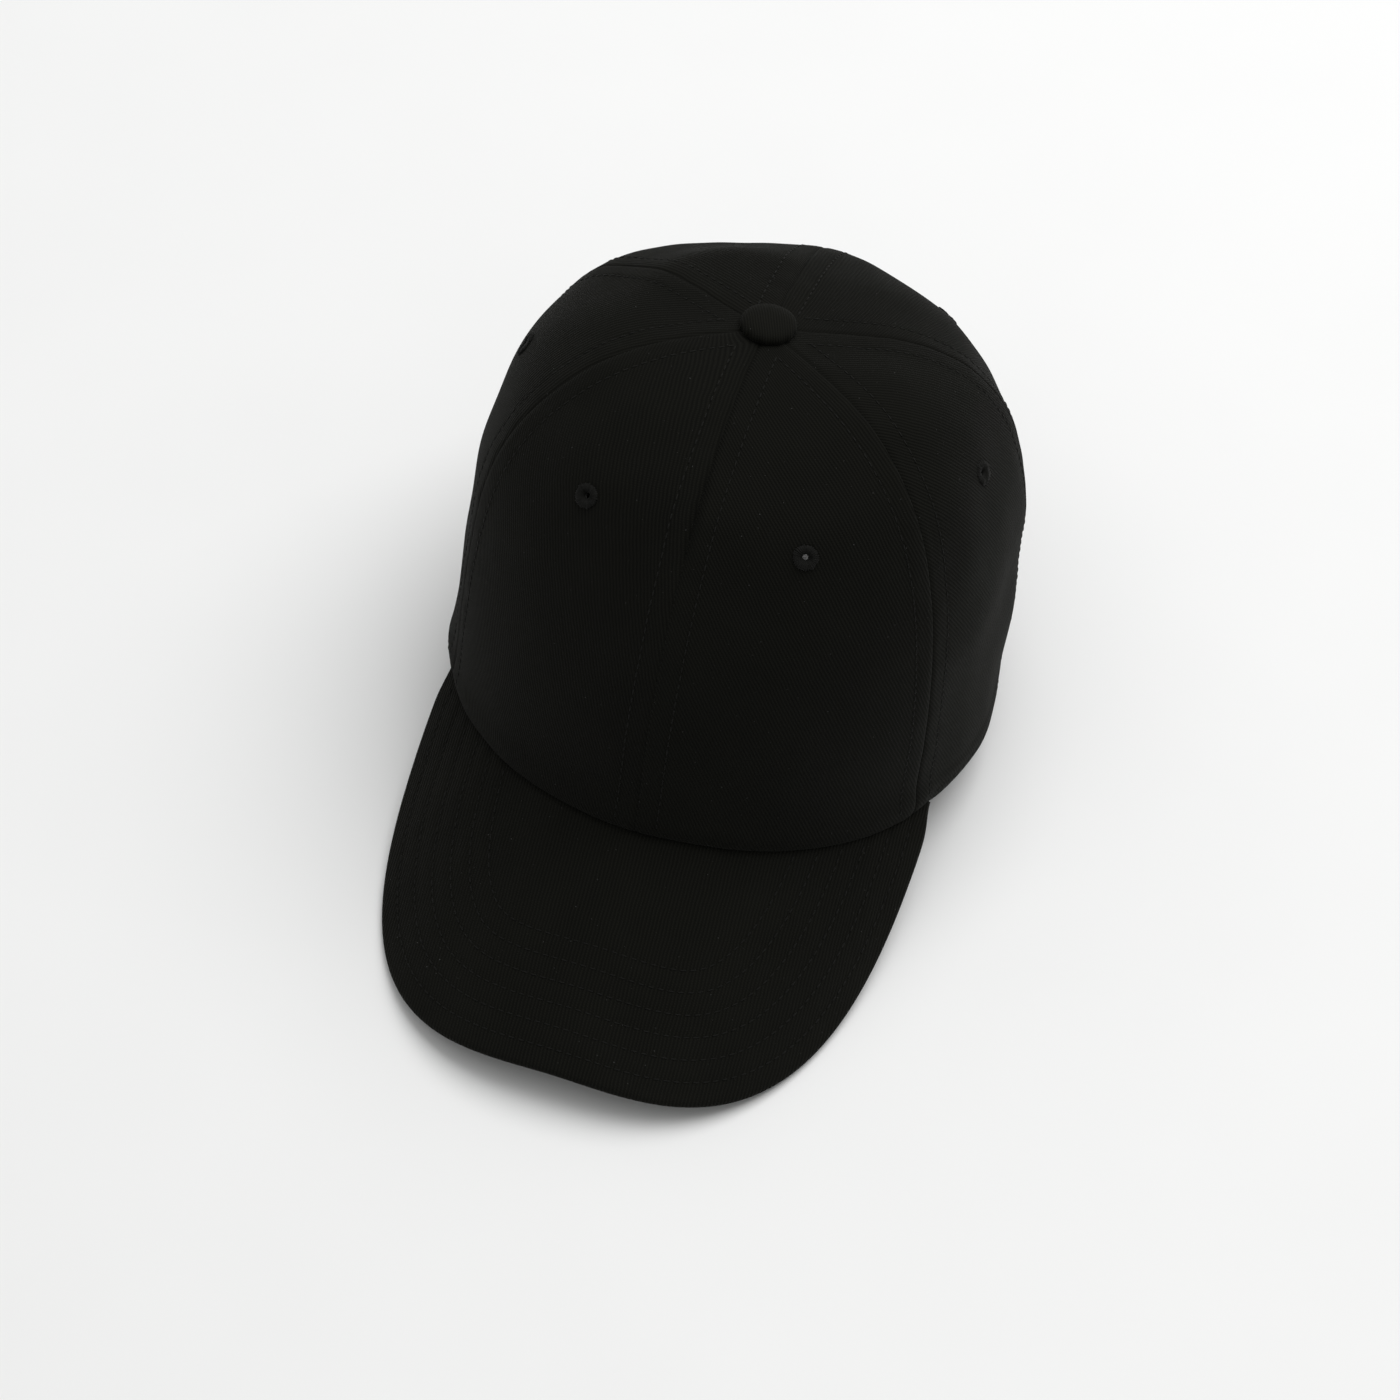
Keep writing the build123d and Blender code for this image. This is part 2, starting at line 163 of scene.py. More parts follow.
def station_table():
    """Station f and profile length for every degree round and every share of the way up."""
    f = np.linspace(0, 89.99, 720)
    stations, lengths = [], []
    for a in TABLE_A:
        r, z = profile(np.full_like(f, a), f)
        run = np.concatenate([[0], np.cumsum(np.hypot(np.diff(r), np.diff(z)))])
        top = np.interp(-CROWN_HOLE, -r, run)
        stations.append(np.interp(TABLE_S * top, run, f))
        lengths.append(top)
    return np.array(stations), np.array(lengths)


STATIONS, LENGTHS = station_table()


def station(a, s):
    """The profile's station at each angle and share of the way up, read from the table."""
    ai = np.clip((a + 180.0), 0, 360 - 1e-9)
    si = np.clip(s * 240, 0, 240 - 1e-9)
    a0, s0 = ai.astype(int), si.astype(int)
    wa, ws = ai - a0, si - s0
    t = STATIONS
    low = t[a0, s0] * (1 - wa) + t[a0 + 1, s0] * wa
    high = t[a0, s0 + 1] * (1 - wa) + t[a0 + 1, s0 + 1] * wa
    return low * (1 - ws) + high * ws


def length_at(a):
    """Length of the crown's profile from hem to button, mm."""
    return np.interp(a, TABLE_A, LENGTHS)


def bare(a, s):
    """Point of the crown's plain outside, in the cap's frame, mm."""
    r, z = profile(a, station(a, s))
    return np.stack([r * np.sin(np.radians(a)), -r * np.cos(np.radians(a)), z], -1)


def bare_normal(a, s):
    """Outward direction of the crown's plain outside."""
    a0, a1 = np.clip(a - 0.2, -180, 180), np.clip(a + 0.2, -180, 180)
    s0, s1 = np.clip(s - 0.004, 0, 1), np.clip(s + 0.004, 0, 1)
    across = bare(a1, s) - bare(a0, s)
    along = bare(a, s1) - bare(a, s0)
    n = np.cross(across, along)
    return n / np.linalg.norm(n, axis=-1, keepdims=True)


def waves(p, length, seed, count=9):
    """Soft random field from -1 to 1 over points in mm, the same each run."""
    rng = np.random.default_rng(seed)
    out = 0
    for _ in range(count):
        d = rng.normal(size=3)
        d = d / np.linalg.norm(d) * 2 * np.pi / (length * rng.uniform(0.7, 1.6))
        out = out + np.sin(p @ d + rng.uniform(0, 2 * np.pi))
    return out / count ** 0.5 * 0.8


def hill(x, centre, width):
    """Smooth bump of height 1."""
    return np.exp(-((x - centre) / width) ** 2)


def step(x, low, high):
    """Smooth rise from 0 at low to 1 at high."""
    w = np.clip((x - low) / (high - low), 0, 1)
    return w * w * (3 - 2 * w)


def radius_of(p):
    return np.hypot(p[..., 0], p[..., 1])


def seam_distance(a, r):
    """Distance to the nearest seam, mm."""
    gaps = [np.abs(a - seam) for seam in SEAM_ANGLES]
    return np.radians(np.min(gaps, axis=0)) * r


# Soft dents and swells of the worn cloth: angle, share up, width across and up in mm, height in mm
DENTS = (
    (-64, 0.66, 16, 14, -1.3), (-75, 0.60, 20, 30, 0.8), (-128, 0.80, 30, 7, 1.1), (-134, 0.72, 26, 9, -1.0),
    (40, 0.30, 30, 26, 0.7), (-32, 0.30, 28, 30, -0.6), (84, 0.25, 24, 26, -0.8), (-67, 0.03, 9, 9, 1.6),
    (125, 0.72, 18, 22, -1.0), (98, 0.80, 22, 16, 0.7), (-150, 0.55, 22, 26, -0.8), (150, 0.5, 26, 26, 0.8),
    (-95, 0.12, 24, 14, -0.9), (70, 0.55, 12, 30, 0.6), (20, 0.78, 16, 20, -0.4), (-22, 0.80, 14, 20, 0.4),
)


def relief(a, s, p):
    """How far the cloth stands proud of the plain crown at its point p, mm."""
    sizes = bpy.context.scene.cap_sizes
    r = radius_of(p)
    up = s * length_at(a)
    t = seam_distance(a, r)
    near_top = step(up, length_at(a) - 22, length_at(a) - 6)
    upper_front = (1 - step(np.abs(a), 20, 34)) * step(s, 0.42, 0.68)
    crisp = 0.42 + 0.58 * upper_front
    d = -sizes.seam_depth * crisp * hill(t, 0, 0.6)
    d = d + 0.24 * crisp * step(t, 0.4, 1.8) * (1 - step(t, 6.7, 8.2)) * (1 - 0.6 * near_top)
    d = d - 0.2 * hill(t, sizes.topstitch, 0.65) * (1 - near_top)
    d = d + sizes.pucker * waves(p, 8.5, 11) * hill(t, 4.2, 3.8) * (1 - 0.7 * near_top)
    soft = step(np.abs(a), 50, 75)
    d = d + (0.35 + 0.45 * soft) * waves(p, 46, 5) + 0.12 * waves(p, 17, 23) * (0.5 + soft)
    for da, ds, wa, ws, height in DENTS:
        across = np.radians(a - da) * r
        d = d + height * hill(across, 0, wa) * hill((s - ds) * length_at(a), 0, ws)
    shoulder = 1.7 * hill(up, 0.615 * length_at(a), 13) * (1 - step(np.abs(a), 34, 56))
    d = d + shoulder * step(t, 0.0, 3.0)
    on_visor = 1 - step(np.abs(a), 60, 67)
    d = d + on_visor * (0.9 * hill(up, 5.5, 4.5) - 1.1 * hill(up, 0, 1.3))
    turned_up = 0.35 * (1 - step(up, 7, 9)) - 0.35 * hill(up, 0, 0.9) - 0.2 * hill(up, 3.0, 0.6)
    d = d + (1 - on_visor) * turned_up
    fade = 1 - hill(up, length_at(a) + 2, 5)
    return d * fade


def crown_shape(a, s, lift=0.0):
    """Points and normals of the cloth, lift mm off its outside."""
    a, s = np.broadcast_arrays(np.asarray(a, float), np.asarray(s, float))
    p = bare(a, s)
    n = bare_normal(a, s)
    d = relief(a, s, p) + lift
    return p + n * d[..., None], n


def on_crown(x, z):
    """Angle and share up of the crown's point behind (x, z), at the back."""
    a = np.full_like(x, 180.0) - np.degrees(np.arcsin(np.clip(np.abs(x) / BACK_RADIUS, 0, 1)))
    shares = np.linspace(0, 1, 121)
    for _ in range(12):
        columns = (bare(np.full_like(shares, turn), shares)[:, 2] for turn in a)
        s = np.array([np.interp(height, column, shares) for height, column in zip(z, columns)])
        r = radius_of(bare(a, s))
        new = 180.0 - np.degrees(np.arcsin(np.clip(np.abs(x) / r, 0, 1)))
        if np.abs(new - a).max() < 1e-4:
            break
        a = new
    return np.where(x < 0, -a, a), s


# ---------------------------------------------------------------- meshes

def run_along(points):
    """Distance run along a line of points."""
    return np.concatenate([[0], np.cumsum(np.linalg.norm(np.diff(points, axis=0), axis=1))])


def linked(name, data):
    """A new object for this data, in the scene."""
    obj = bpy.data.objects.new(name, data)
    bpy.context.scene.collection.objects.link(obj)
    return obj


def add_object(name, verts, faces, material, uvs=None):
    """A smooth object: verts in row-frame metres; uvs one pair per vertex, in mm of cloth."""
    mesh = bpy.data.meshes.new(name)
    mesh.from_pydata([tuple(v) for v in verts], [], faces)
    if uvs is not None:
        layer = mesh.uv_layers.new(name="cloth")
        order = np.zeros(len(mesh.loops), int)
        mesh.loops.foreach_get("vertex_index", order)
        layer.data.foreach_set("uv", np.asarray(uvs, float)[order].ravel())
    mesh.polygons.foreach_set("use_smooth", [True] * len(mesh.polygons))
    mesh.materials.append(material)
    mesh.validate()
    return linked(name, mesh)


def sheet_mesh(name, outer, inner, uv, material, hole=None):
    """Closed cloth from two grids of points (rows, columns, 3), row-frame metres, less the hole's cells."""
    rows, cols = outer.shape[:2]
    verts = np.concatenate([outer.reshape(-1, 3), inner.reshape(-1, 3)])
    uvs = np.concatenate([uv.reshape(-1, 2)] * 2)
    half = rows * cols
    there = np.ones((rows + 1, cols + 1), bool)
    there[0] = there[-1] = there[:, 0] = there[:, -1] = False
    if hole is not None:
        there[1:-1, 1:-1] &= ~hole
    faces = []
    for i in range(rows - 1):
        for j in range(cols - 1):
            if not there[i + 1, j + 1]:
                continue
            a, b, c, d = i * cols + j, i * cols + j + 1, (i + 1) * cols + j + 1, (i + 1) * cols + j
            faces.append((a, b, c, d))
            faces.append((half + d, half + c, half + b, half + a))
            sides = (((i, j + 1), a, b), ((i + 1, j + 2), b, c), ((i + 2, j + 1), c, d), ((i + 1, j), d, a))
            for beside, start, end in sides:
                if not there[beside]:
                    faces.append((end, start, half + start, half + end))
    return add_object(name, verts, faces, material, uvs)


def open_eyelet(a, s, eye_a, eye_s, radius=2.3):
    """Rounds a grid's vertices about an eyelet, in place, and returns the cells that the hole takes."""
    across = np.radians(a - eye_a) * radius_of(bare(a, s))
    along = (s - eye_s) * length_at(a)
    reach = np.hypot(across, along)
    cells = [reach[:-1, :-1], reach[1:, :-1], reach[:-1, 1:], reach[1:, 1:]]
    hole = sum(cells) / 4 < radius + 0.35
    touched = np.zeros(a.shape, bool)
    inside = np.ones(a.shape, bool)
    for di in (0, 1):
        for dj in (0, 1):
            corner = np.s_[di:a.shape[0] - 1 + di, dj:a.shape[1] - 1 + dj]
            touched[corner] |= hole
            inside[corner] &= hole
    edge = touched & ~inside
    scale = np.where(edge, radius / np.maximum(reach, 0.01), 1.0)
    a[:] = np.where(edge, eye_a + (a - eye_a) * scale, a)
    s[:] = np.where(edge, eye_s + (s - eye_s) * scale, s)
    return hole


def cut_size(a, s, allowance=ALLOWANCE):
    """A panel's flat width, length and area in metres, with its seam allowance."""
    p = bare(a, s)
    longest_row = np.linalg.norm(np.diff(p, axis=1), axis=2).sum(1).max()
    width = min(longest_row, np.radians(np.ptp(a)) * radius_of(p).max()) + 2 * allowance
    length = np.linalg.norm(np.diff(p, axis=0), axis=2).sum(0).max() + 2 * allowance
    d1 = p[1:, 1:] - p[:-1, :-1]
    d2 = p[1:, :-1] - p[:-1, 1:]
    surface = np.linalg.norm(np.cross(d1, d2), axis=2).sum() / 2
    area = min(surface + 2 * length * allowance + width * allowance, width * length)
    return (float(width) * MM, float(length) * MM), float(area) * MM * MM


def tube_mesh(name, rings, uv, material, closed=False):
    """Surface through closed rings of points (n, m, 3), row-frame metres: open ends are capped."""
    n, m = rings.shape[:2]
    verts = rings.reshape(-1, 3)
    faces = []
    for i in range(n if closed else n - 1):
        for j in range(m):
            a, b = i * m + j, i * m + (j + 1) % m
            c, d = ((i + 1) % n) * m + (j + 1) % m, ((i + 1) % n) * m + j
            faces.append((a, b, c, d))
    if not closed:
        faces.append(tuple(range(m))[::-1])
        faces.append(tuple((n - 1) * m + j for j in range(m)))
    return add_object(name, verts, faces, material, uv.reshape(-1, 2))


def face_outwards(obj):
    """Turns the whole piece's faces so that its volume is positive."""
    mesh = obj.data
    mesh.calc_loop_triangles()
    co = np.zeros(len(mesh.vertices) * 3)
    mesh.vertices.foreach_get("co", co)
    co = co.reshape(-1, 3) - co.reshape(-1, 3).mean(0)
    tri = np.zeros(len(mesh.loop_triangles) * 3, int)
    mesh.loop_triangles.foreach_get("vertices", tri)
    a, b, c = (co[tri.reshape(-1, 3)[:, i]] for i in range(3))
    if (a * np.cross(b, c)).sum() < 0:
        mesh.flip_normals()


def finished(obj, body, slot, *nodes):
    """Turns a piece's faces outwards, gives it its body and hides the CAD nodes that it stands for; slot is
    not used.
    """
    face_outwards(obj)
    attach(obj, body)
    if nodes:
        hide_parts(*nodes)
    return obj


# ---------------------------------------------------------------- materials

class Wire:
    """A shader socket that ordinary arithmetic works on."""

    def __init__(self, net, socket):
        self.net = net
        self.socket = socket

    def maths(self, operation, *values):
        return self.net.node("ShaderNodeMath", {"operation": operation}, dict(enumerate(values)))

    def __add__(self, other):
        return self.maths("ADD", self, other)

    def __radd__(self, other):
        return self.maths("ADD", other, self)

    def __sub__(self, other):
        return self.maths("SUBTRACT", self, other)

    def __rsub__(self, other):
        return self.maths("SUBTRACT", other, self)

    def __mul__(self, other):
        return self.maths("MULTIPLY", self, other)

    def __rmul__(self, other):
        return self.maths("MULTIPLY", other, self)

    def sine(self):
        return self.maths("SINE", self)

    def above(self, limit):
        return self.maths("GREATER_THAN", self, limit)


class Net:
    """A material's node tree, built from expressions."""

    def __init__(self, name, **constants):
        self.material = bpy.data.materials.new(name)
        self.material.use_nodes = True
        self.tree = self.material.node_tree
        self.shader = self.tree.nodes["Principled BSDF"]
        for socket, value in constants.items():
            self.shader.inputs[socket.replace("_", " ")].default_value = value

    def node(self, kind, settings=None, values=None, out=0):
        n = self.tree.nodes.new(kind)
        for key, value in (settings or {}).items():
            setattr(n, key, value)
        for key, value in (values or {}).items():
            self.join(n.inputs[key], value)
        return Wire(self, n.outputs[out])

    def join(self, socket, value):
        if isinstance(value, Wire):
            self.tree.links.new(value.socket, socket)
        else:
            socket.default_value = value

    def feed(self, **wires):
        for socket, wire in wires.items():
            self.join(self.shader.inputs[socket.replace("_", " ")], wire)
        return self.material

    def noise(self, vector, scale, detail=2.0, rough=0.5):
        return self.node("ShaderNodeTexNoise", None,
                         {"Vector": vector, "Scale": scale, "Detail": detail, "Roughness": rough})

    def blend(self, factor, a, b):
        return self.node("ShaderNodeMix", {"data_type": "RGBA"}, {0: factor, 6: a, 7: b}, out=2)

    def bump(self, height, distance):
        return self.node("ShaderNodeBump", None, {"Height": height, "Distance": distance, "Strength": 1.0})

    def axes(self, vector):
        n = self.tree.nodes.new("ShaderNodeSeparateXYZ")
        self.join(n.inputs[0], vector)
        return [Wire(self, o) for o in n.outputs]


def grey(value, tint=(1.0, 1.0, 1.0)):
    """A colour of one lightness, slightly tinted."""
    return (value * tint[0], value * tint[1], value * tint[2], 1.0)


def twill(name, value, angle, pitch=1.0, depth=0.00016):
    """Cotton twill: slanted ribs made of short floats, a little fuzz and lint; its colour paints shade onto
    the ribs, lighter on their crests and darker in the grooves.
    """
    net = Net(name, Sheen_Weight=0.018, Sheen_Roughness=0.45, Specular_IOR_Level=0.06)
    net.shader.inputs["Sheen Tint"].default_value = (1.0, 1.0, 0.94, 1.0)
    uv = net.node("ShaderNodeUVMap", {"uv_map": "cloth"})
    x, y, _ = net.axes(uv)
    wander = net.noise(uv, 0.12, 1.0)
    turn = math.radians(angle)
    across = (x * math.cos(turn) + y * math.sin(turn)) * (2 * math.pi / pitch) + wander * 5.0
    along = (y * math.cos(turn) - x * math.sin(turn)) * (2 * math.pi / (pitch * 0.72))
    rib = across.sine() * 0.5 + 0.5
    floats = (along + across * 0.5).sine() * 0.5 + 0.5
    fuzz = net.noise(uv, 3.1, 3.0, 0.65)
    height = rib * 0.6 + rib * floats * 0.4 + fuzz * 0.45
    patch = net.noise(uv, 0.035, 3.0)
    # Painted shade: rib crests lighter, grooves darker; fuzz and patch add random tone.
    painted_shade_and_tone = rib * 0.5 + fuzz * 0.65 + patch * 0.5 - 0.33
    colour = net.blend(painted_shade_and_tone, grey(value * 0.45, (1.0, 1.0, 0.76)), grey(value * 1.85, (1.0, 1.0, 0.78)))
    specks = net.noise(uv, 0.9, 2.0, 0.7)
    threads = net.noise(uv, 2.6, 1.0, 0.4)
    lint = specks.above(0.735) * threads.above(0.5)
    colour = net.blend(lint * 0.55, colour, grey(0.12))
    return net.feed(Base_Color=colour, Roughness=0.78 + fuzz * 0.18, Normal=net.bump(height, depth))


def thread(name, value):
    """Twisted sewing thread, with painted shade along its twist: lighter on the ridges, darker in the
    grooves.
    """
    net = Net(name, Sheen_Weight=0.04, Sheen_Roughness=0.4, Specular_IOR_Level=0.12)
    place = net.node("ShaderNodeTexCoord", out=3)
    x, y, z = net.axes(place)
    twist = ((x + y * 0.8 + z * 1.3) * (2 * math.pi / 0.00042)).sine() * 0.5 + 0.5
    fuzz = net.noise(place, 2500.0, 2.0)
    # Painted shade along the twist; fuzz adds random tone.
    colour = net.blend(twist * 0.6 + fuzz * 0.4, grey(value * 0.6, (1.0, 1.0, 0.8)),
                       grey(value * 1.7, (1.0, 1.0, 0.82)))
    return net.feed(Base_Color=colour, Roughness=0.55 + fuzz * 0.25,
                    Normal=net.bump(twist * 0.7 + fuzz * 0.3, 0.00006))


def weave(name, value, pitch, openness=0.0):
    """Plain weave of two sets of yarns, with painted shade: raised yarns lighter, the low places between them
    darker, the more so where openness is above 0, which stands in for gaps between the yarns.
    """
    net = Net(name, Sheen_Weight=0.06, Sheen_Roughness=0.4, Specular_IOR_Level=0.12)
    uv = net.node("ShaderNodeUVMap", {"uv_map": "cloth"})
    x, y, _ = net.axes(uv)
    fuzz = net.noise(uv, 2.4, 3.0, 0.6)
    warp = (x * (2 * math.pi / pitch) + fuzz * 0.8).sine() * 0.5 + 0.5
    weft = (y * (2 * math.pi / pitch) + fuzz * 0.8).sine() * 0.5 + 0.5
    over = ((x + y) * (math.pi / pitch)).sine() * 0.5 + 0.5
    height = warp * over + weft * (1 - over) + fuzz * 0.3
    # Painted shade: colour follows the yarns' height, darker between them and darker still with openness;
    # fuzz adds random tone.
    painted_shade_and_tone = height * (0.6 + openness * 0.4) + fuzz * 0.3 - openness * 0.25
    colour = net.blend(painted_shade_and_tone, grey(value * (0.5 - 0.4 * openness)), grey(value * 1.5))
    return net.feed(Base_Color=colour, Roughness=0.75 + fuzz * 0.2, Normal=net.bump(height, 0.00018))


def buckle_metal(name, colour):
    """Plated metal, brushed along its length, with a little wear."""
    net = Net(name, Metallic=1.0)
    place = net.node("ShaderNodeTexCoord", out=3)
    x, y, z = net.axes(place)
    drawn = net.node("ShaderNodeCombineXYZ", None, {0: x * 300.0, 1: y * 300.0, 2: z * 9000.0})
    brush = net.noise(drawn, 1.0, 3.0, 0.6)
    wear = net.noise(place, 220.0, 4.0, 0.65)
    low = tuple(c * 0.55 for c in colour) + (1.0,)
    high = tuple(min(1.0, c * 1.5) for c in colour) + (1.0,)
    return net.feed(Base_Color=net.blend(brush * 0.5 + wear * 0.5, low, high), Roughness=0.28 + wear * 0.25,
                    Normal=net.bump(brush, 0.00003))


def moulded_board(name):
    """Matt plastic of the visor's stiffener."""
    net = Net(name, Specular_IOR_Level=0.3)
    place = net.node("ShaderNodeTexCoord", out=3)
    grain = net.noise(place, 900.0, 3.0)
    return net.feed(Base_Color=net.blend(grain, grey(0.02), grey(0.035)), Roughness=0.45 + grain * 0.2,
                    Normal=net.bump(grain, 0.00008))


def stitch_tree():
    """Geometry Nodes: a row of short thread bars along each edge of a mesh."""
    tree = bpy.data.node_groups.new("Stitches", "GeometryNodeTree")
    face = tree.interface
    face.new_socket("Rows", in_out="INPUT", socket_type="NodeSocketGeometry")
    for label, value in (("Pitch", 0.0028), ("Length", 0.0022), ("Width", 0.0005), ("Height", 0.0004)):
        face.new_socket(label, in_out="INPUT", socket_type="NodeSocketFloat").default_value = value
    face.new_socket("Thread", in_out="INPUT", socket_type="NodeSocketMaterial")
    face.new_socket("Stitches", in_out="OUTPUT", socket_type="NodeSocketGeometry")
    kinds = {
        "given": "NodeGroupInput", "result": "NodeGroupOutput", "curve": "GeometryNodeMeshToCurve",
        "spaced": "GeometryNodeResampleCurve", "bar": "GeometryNodeMeshUVSphere",
        "size": "ShaderNodeCombineXYZ", "lift": "GeometryNodeInputNamedAttribute",
        "along": "GeometryNodeInputTangent",
        "turn": "FunctionNodeAxesToRotation", "put": "GeometryNodeInstanceOnPoints",
        "real": "GeometryNodeRealizeInstances", "paint": "GeometryNodeSetMaterial",
        "smooth": "GeometryNodeSetShadeSmooth",
    }
    made = {label: tree.nodes.new(kind) for label, kind in kinds.items()}
    for label, key, value in (("spaced", "mode", "LENGTH"), ("lift", "data_type", "FLOAT_VECTOR"),
                              ("turn", "primary_axis", "Z"), ("turn", "secondary_axis", "X")):
        setattr(made[label], key, value)
    for label, key, value in (("bar", "Segments", 6), ("bar", "Rings", 5), ("bar", "Radius", 0.5),
                              ("lift", "Name", "lift")):
        made[label].inputs[key].default_value = value
    for start, out, end, into in (
        ("given", "Rows", "curve", "Mesh"), ("curve", 0, "spaced", "Curve"),
        ("given", "Pitch", "spaced", "Length"),
        ("given", "Length", "size", "X"), ("given", "Width", "size", "Y"), ("given", "Height", "size", "Z"),
        ("lift", "Attribute", "turn", "Primary Axis"), ("along", 0, "turn", "Secondary Axis"),
        ("spaced", 0, "put", "Points"), ("bar", "Mesh", "put", "Instance"), ("turn", 0, "put", "Rotation"),
        ("size", 0, "put", "Scale"), ("put", 0, "real", 0), ("real", 0, "smooth", 0),
        ("smooth", 0, "paint", "Geometry"), ("given", "Thread", "paint", "Material"),
        ("paint", 0, "result", "Stitches"),
    ):
        tree.links.new(made[start].outputs[out], made[end].inputs[into])
    return tree


def stitches(name, rows, body, length=2.2, pitch=2.8, width=0.5, height=0.4):
    """Thread along rows, a list of (points, normals) in the cap's frame, mm; so are the sizes."""
    verts, edges, lifts = [], [], []
    for points, normals in rows:
        start = len(verts)
        verts.extend(tuple(v) for v in placed(points))
        lifts.extend(turned(normals))
        edges.extend((start + i, start + i + 1) for i in range(len(points) - 1))
    mesh = bpy.data.meshes.new(name + "_rows")
    mesh.from_pydata(verts, edges, [])
    layer = mesh.attributes.new("lift", "FLOAT_VECTOR", "POINT")
    layer.data.foreach_set("vector", np.asarray(lifts, float).ravel())
    source = linked(name + "_rows", mesh)
    modifier = source.modifiers.new("Stitches", "NODES")
    tree = bpy.data.node_groups.get("Stitches") or stitch_tree()
    modifier.node_group = tree
    given = {"Pitch": pitch * MM, "Length": length * MM, "Width": width * MM, "Height": height * MM,
             "Thread": bpy.data.materials["black thread"]}
    for item in tree.interface.items_tree:
        if item.name in given and item.in_out == "INPUT":
            modifier[item.identifier] = given[item.name]
    depsgraph = bpy.context.evaluated_depsgraph_get()
    done = bpy.data.meshes.new_from_object(source.evaluated_get(depsgraph))
    bpy.data.objects.remove(source)
    done.name = name
    if not done.polygons:
        raise RuntimeError(name + " has no stitches")
    obj = linked(name, done)
    return finished(obj, body, "thread")


# ---------------------------------------------------------------- properties

class CapSizes(bpy.types.PropertyGroup):
    """Sizes of the sewing and the cloth's relief, in millimetres."""

    topstitch: FloatProperty(name="Topstitch", description="Seam to its topstitched row, mm", default=6.3)
    seam_depth: FloatProperty(name="Seam depth", description="How deep a seam's valley is, mm", default=0.6)
    pucker: FloatProperty(name="Pucker", description="Height of the ripples beside a seam, mm", default=0.13)
    stitch: FloatProperty(name="Stitch", description="Length of one stitch, mm", default=2.2)
    visor_row: FloatProperty(name="Visor row", description="Between the visor's rows, mm", default=6.5)


class CapColours(bpy.types.PropertyGroup):
    """Colours of the cloth and the metal."""

    cloth: FloatProperty(name="Cloth", description="Lightness of the cloth", default=0.0042, min=0, max=1)
    thread: FloatProperty(name="Thread", description="Lightness of the thread", default=0.0046, min=0, max=1)
    metal: FloatVectorProperty(name="Buckle", description="Colour of the buckle", subtype="COLOR",
                               default=(0.3, 0.29, 0.27), min=0, max=1)


# ---------------------------------------------------------------- pieces

def arch_curve(radius, count):
    """Half of the back opening's outline from its foot to its top, (x, z), mm."""
    straight = np.linspace(0, ARCH_RISE, max(3, count // 6))[:-1]
    turn = np.radians(np.linspace(0, 90, count - len(straight)))
    x = np.concatenate([np.full(len(straight), radius), radius * np.cos(turn)])
    z = np.concatenate([straight, ARCH_RISE + radius * np.sin(turn)])
    return x, z


def spread(count):
    """0 to 1, closer together at both ends."""
    k = np.linspace(0, 1, count)
    return 0.5 * k + 0.5 * (1 - np.cos(np.pi * k)) / 2


def panel_grid(name, cols=76, rows=112):
    """Angles and shares up of a panel's grid."""
    a0, a1 = PANELS[name]
    v = np.linspace(0, 1, rows)[:, None] ** 0.97
    if not name.startswith("back"):
        a = a0 + (a1 - a0) * spread(cols)
        return np.broadcast_to(a, (rows, cols)).copy(), np.broadcast_to(v, (rows, cols)).copy()
    x, z = arch_curve(ARCH_R + 1.5, 44)
    x[-1] = 1e-6
    arch_a, arch_s = on_crown(x, z)
    hem_a = np.linspace(SEAM_2, arch_a[0], 33)[:-1]
    low_a = np.concatenate([hem_a, arch_a])
    low_s = np.concatenate([np.zeros_like(hem_a), arch_s])
    top_a = np.linspace(0, 1, len(low_a)) * (180.0 - SEAM_2) + SEAM_2
    a = low_a * (1 - v) + top_a * v
    s = low_s + v * (1 - low_s)
    if a0 < 0:
        a, s = -a[:, ::-1], s[:, ::-1]
    return a, s


def cloth_uv(a, s, middle):
    """A grid's place on its own flat cloth, mm, with x = 0 at the angle middle."""
    return np.stack([np.radians(a - middle) * radius_of(bare(a, s)), s * length_at(a)], -1)


class CAP_OT_panels(bpy.types.Operator):
    """Sews the six panels"""

    bl_idname = "cap.panels"
    bl_label = "Panels"

    def execute(self, context):
        value = context.scene.cap_colours.cloth
        slants = {"front_right": 27, "front_left": 27, "side_right": 33, "side_left": 20, "back_right": 30,
                  "back_left": 30}
        for name, (a0, a1) in PANELS.items():
            cloth = twill("black twill " + name.replace("_", " "), value, slants[name])
            a, s = panel_grid(name)
            flat, area = cut_size(a, s)
            hole = open_eyelet(a, s, *eyelet_place(name))
            outer, normals = crown_shape(a, s)
            inner = outer - normals * CLOTH
            uv = cloth_uv(a, s, (a0 + a1) / 2)
            obj = sheet_mesh("cloth_" + name, placed(outer), placed(inner), uv, cloth, hole)
            finished(obj, "crown", "twill", "panel_" + name)
        return {"FINISHED"}


def seam_row(seam, offset, low=0.03, count=160):
    """A topstitched row beside a seam, offset mm to one side, until it meets the next seam's row."""
    s = np.linspace(low, 0.995, count)
    a = np.full(count, float(seam))
    for _ in range(6):
        a = seam + np.degrees(offset / radius_of(bare(a, s)))
    half = 26.5 if abs(seam) < SEAM_2 else 29.0
    keep = np.abs(a - seam) < half
    return a[keep], s[keep]


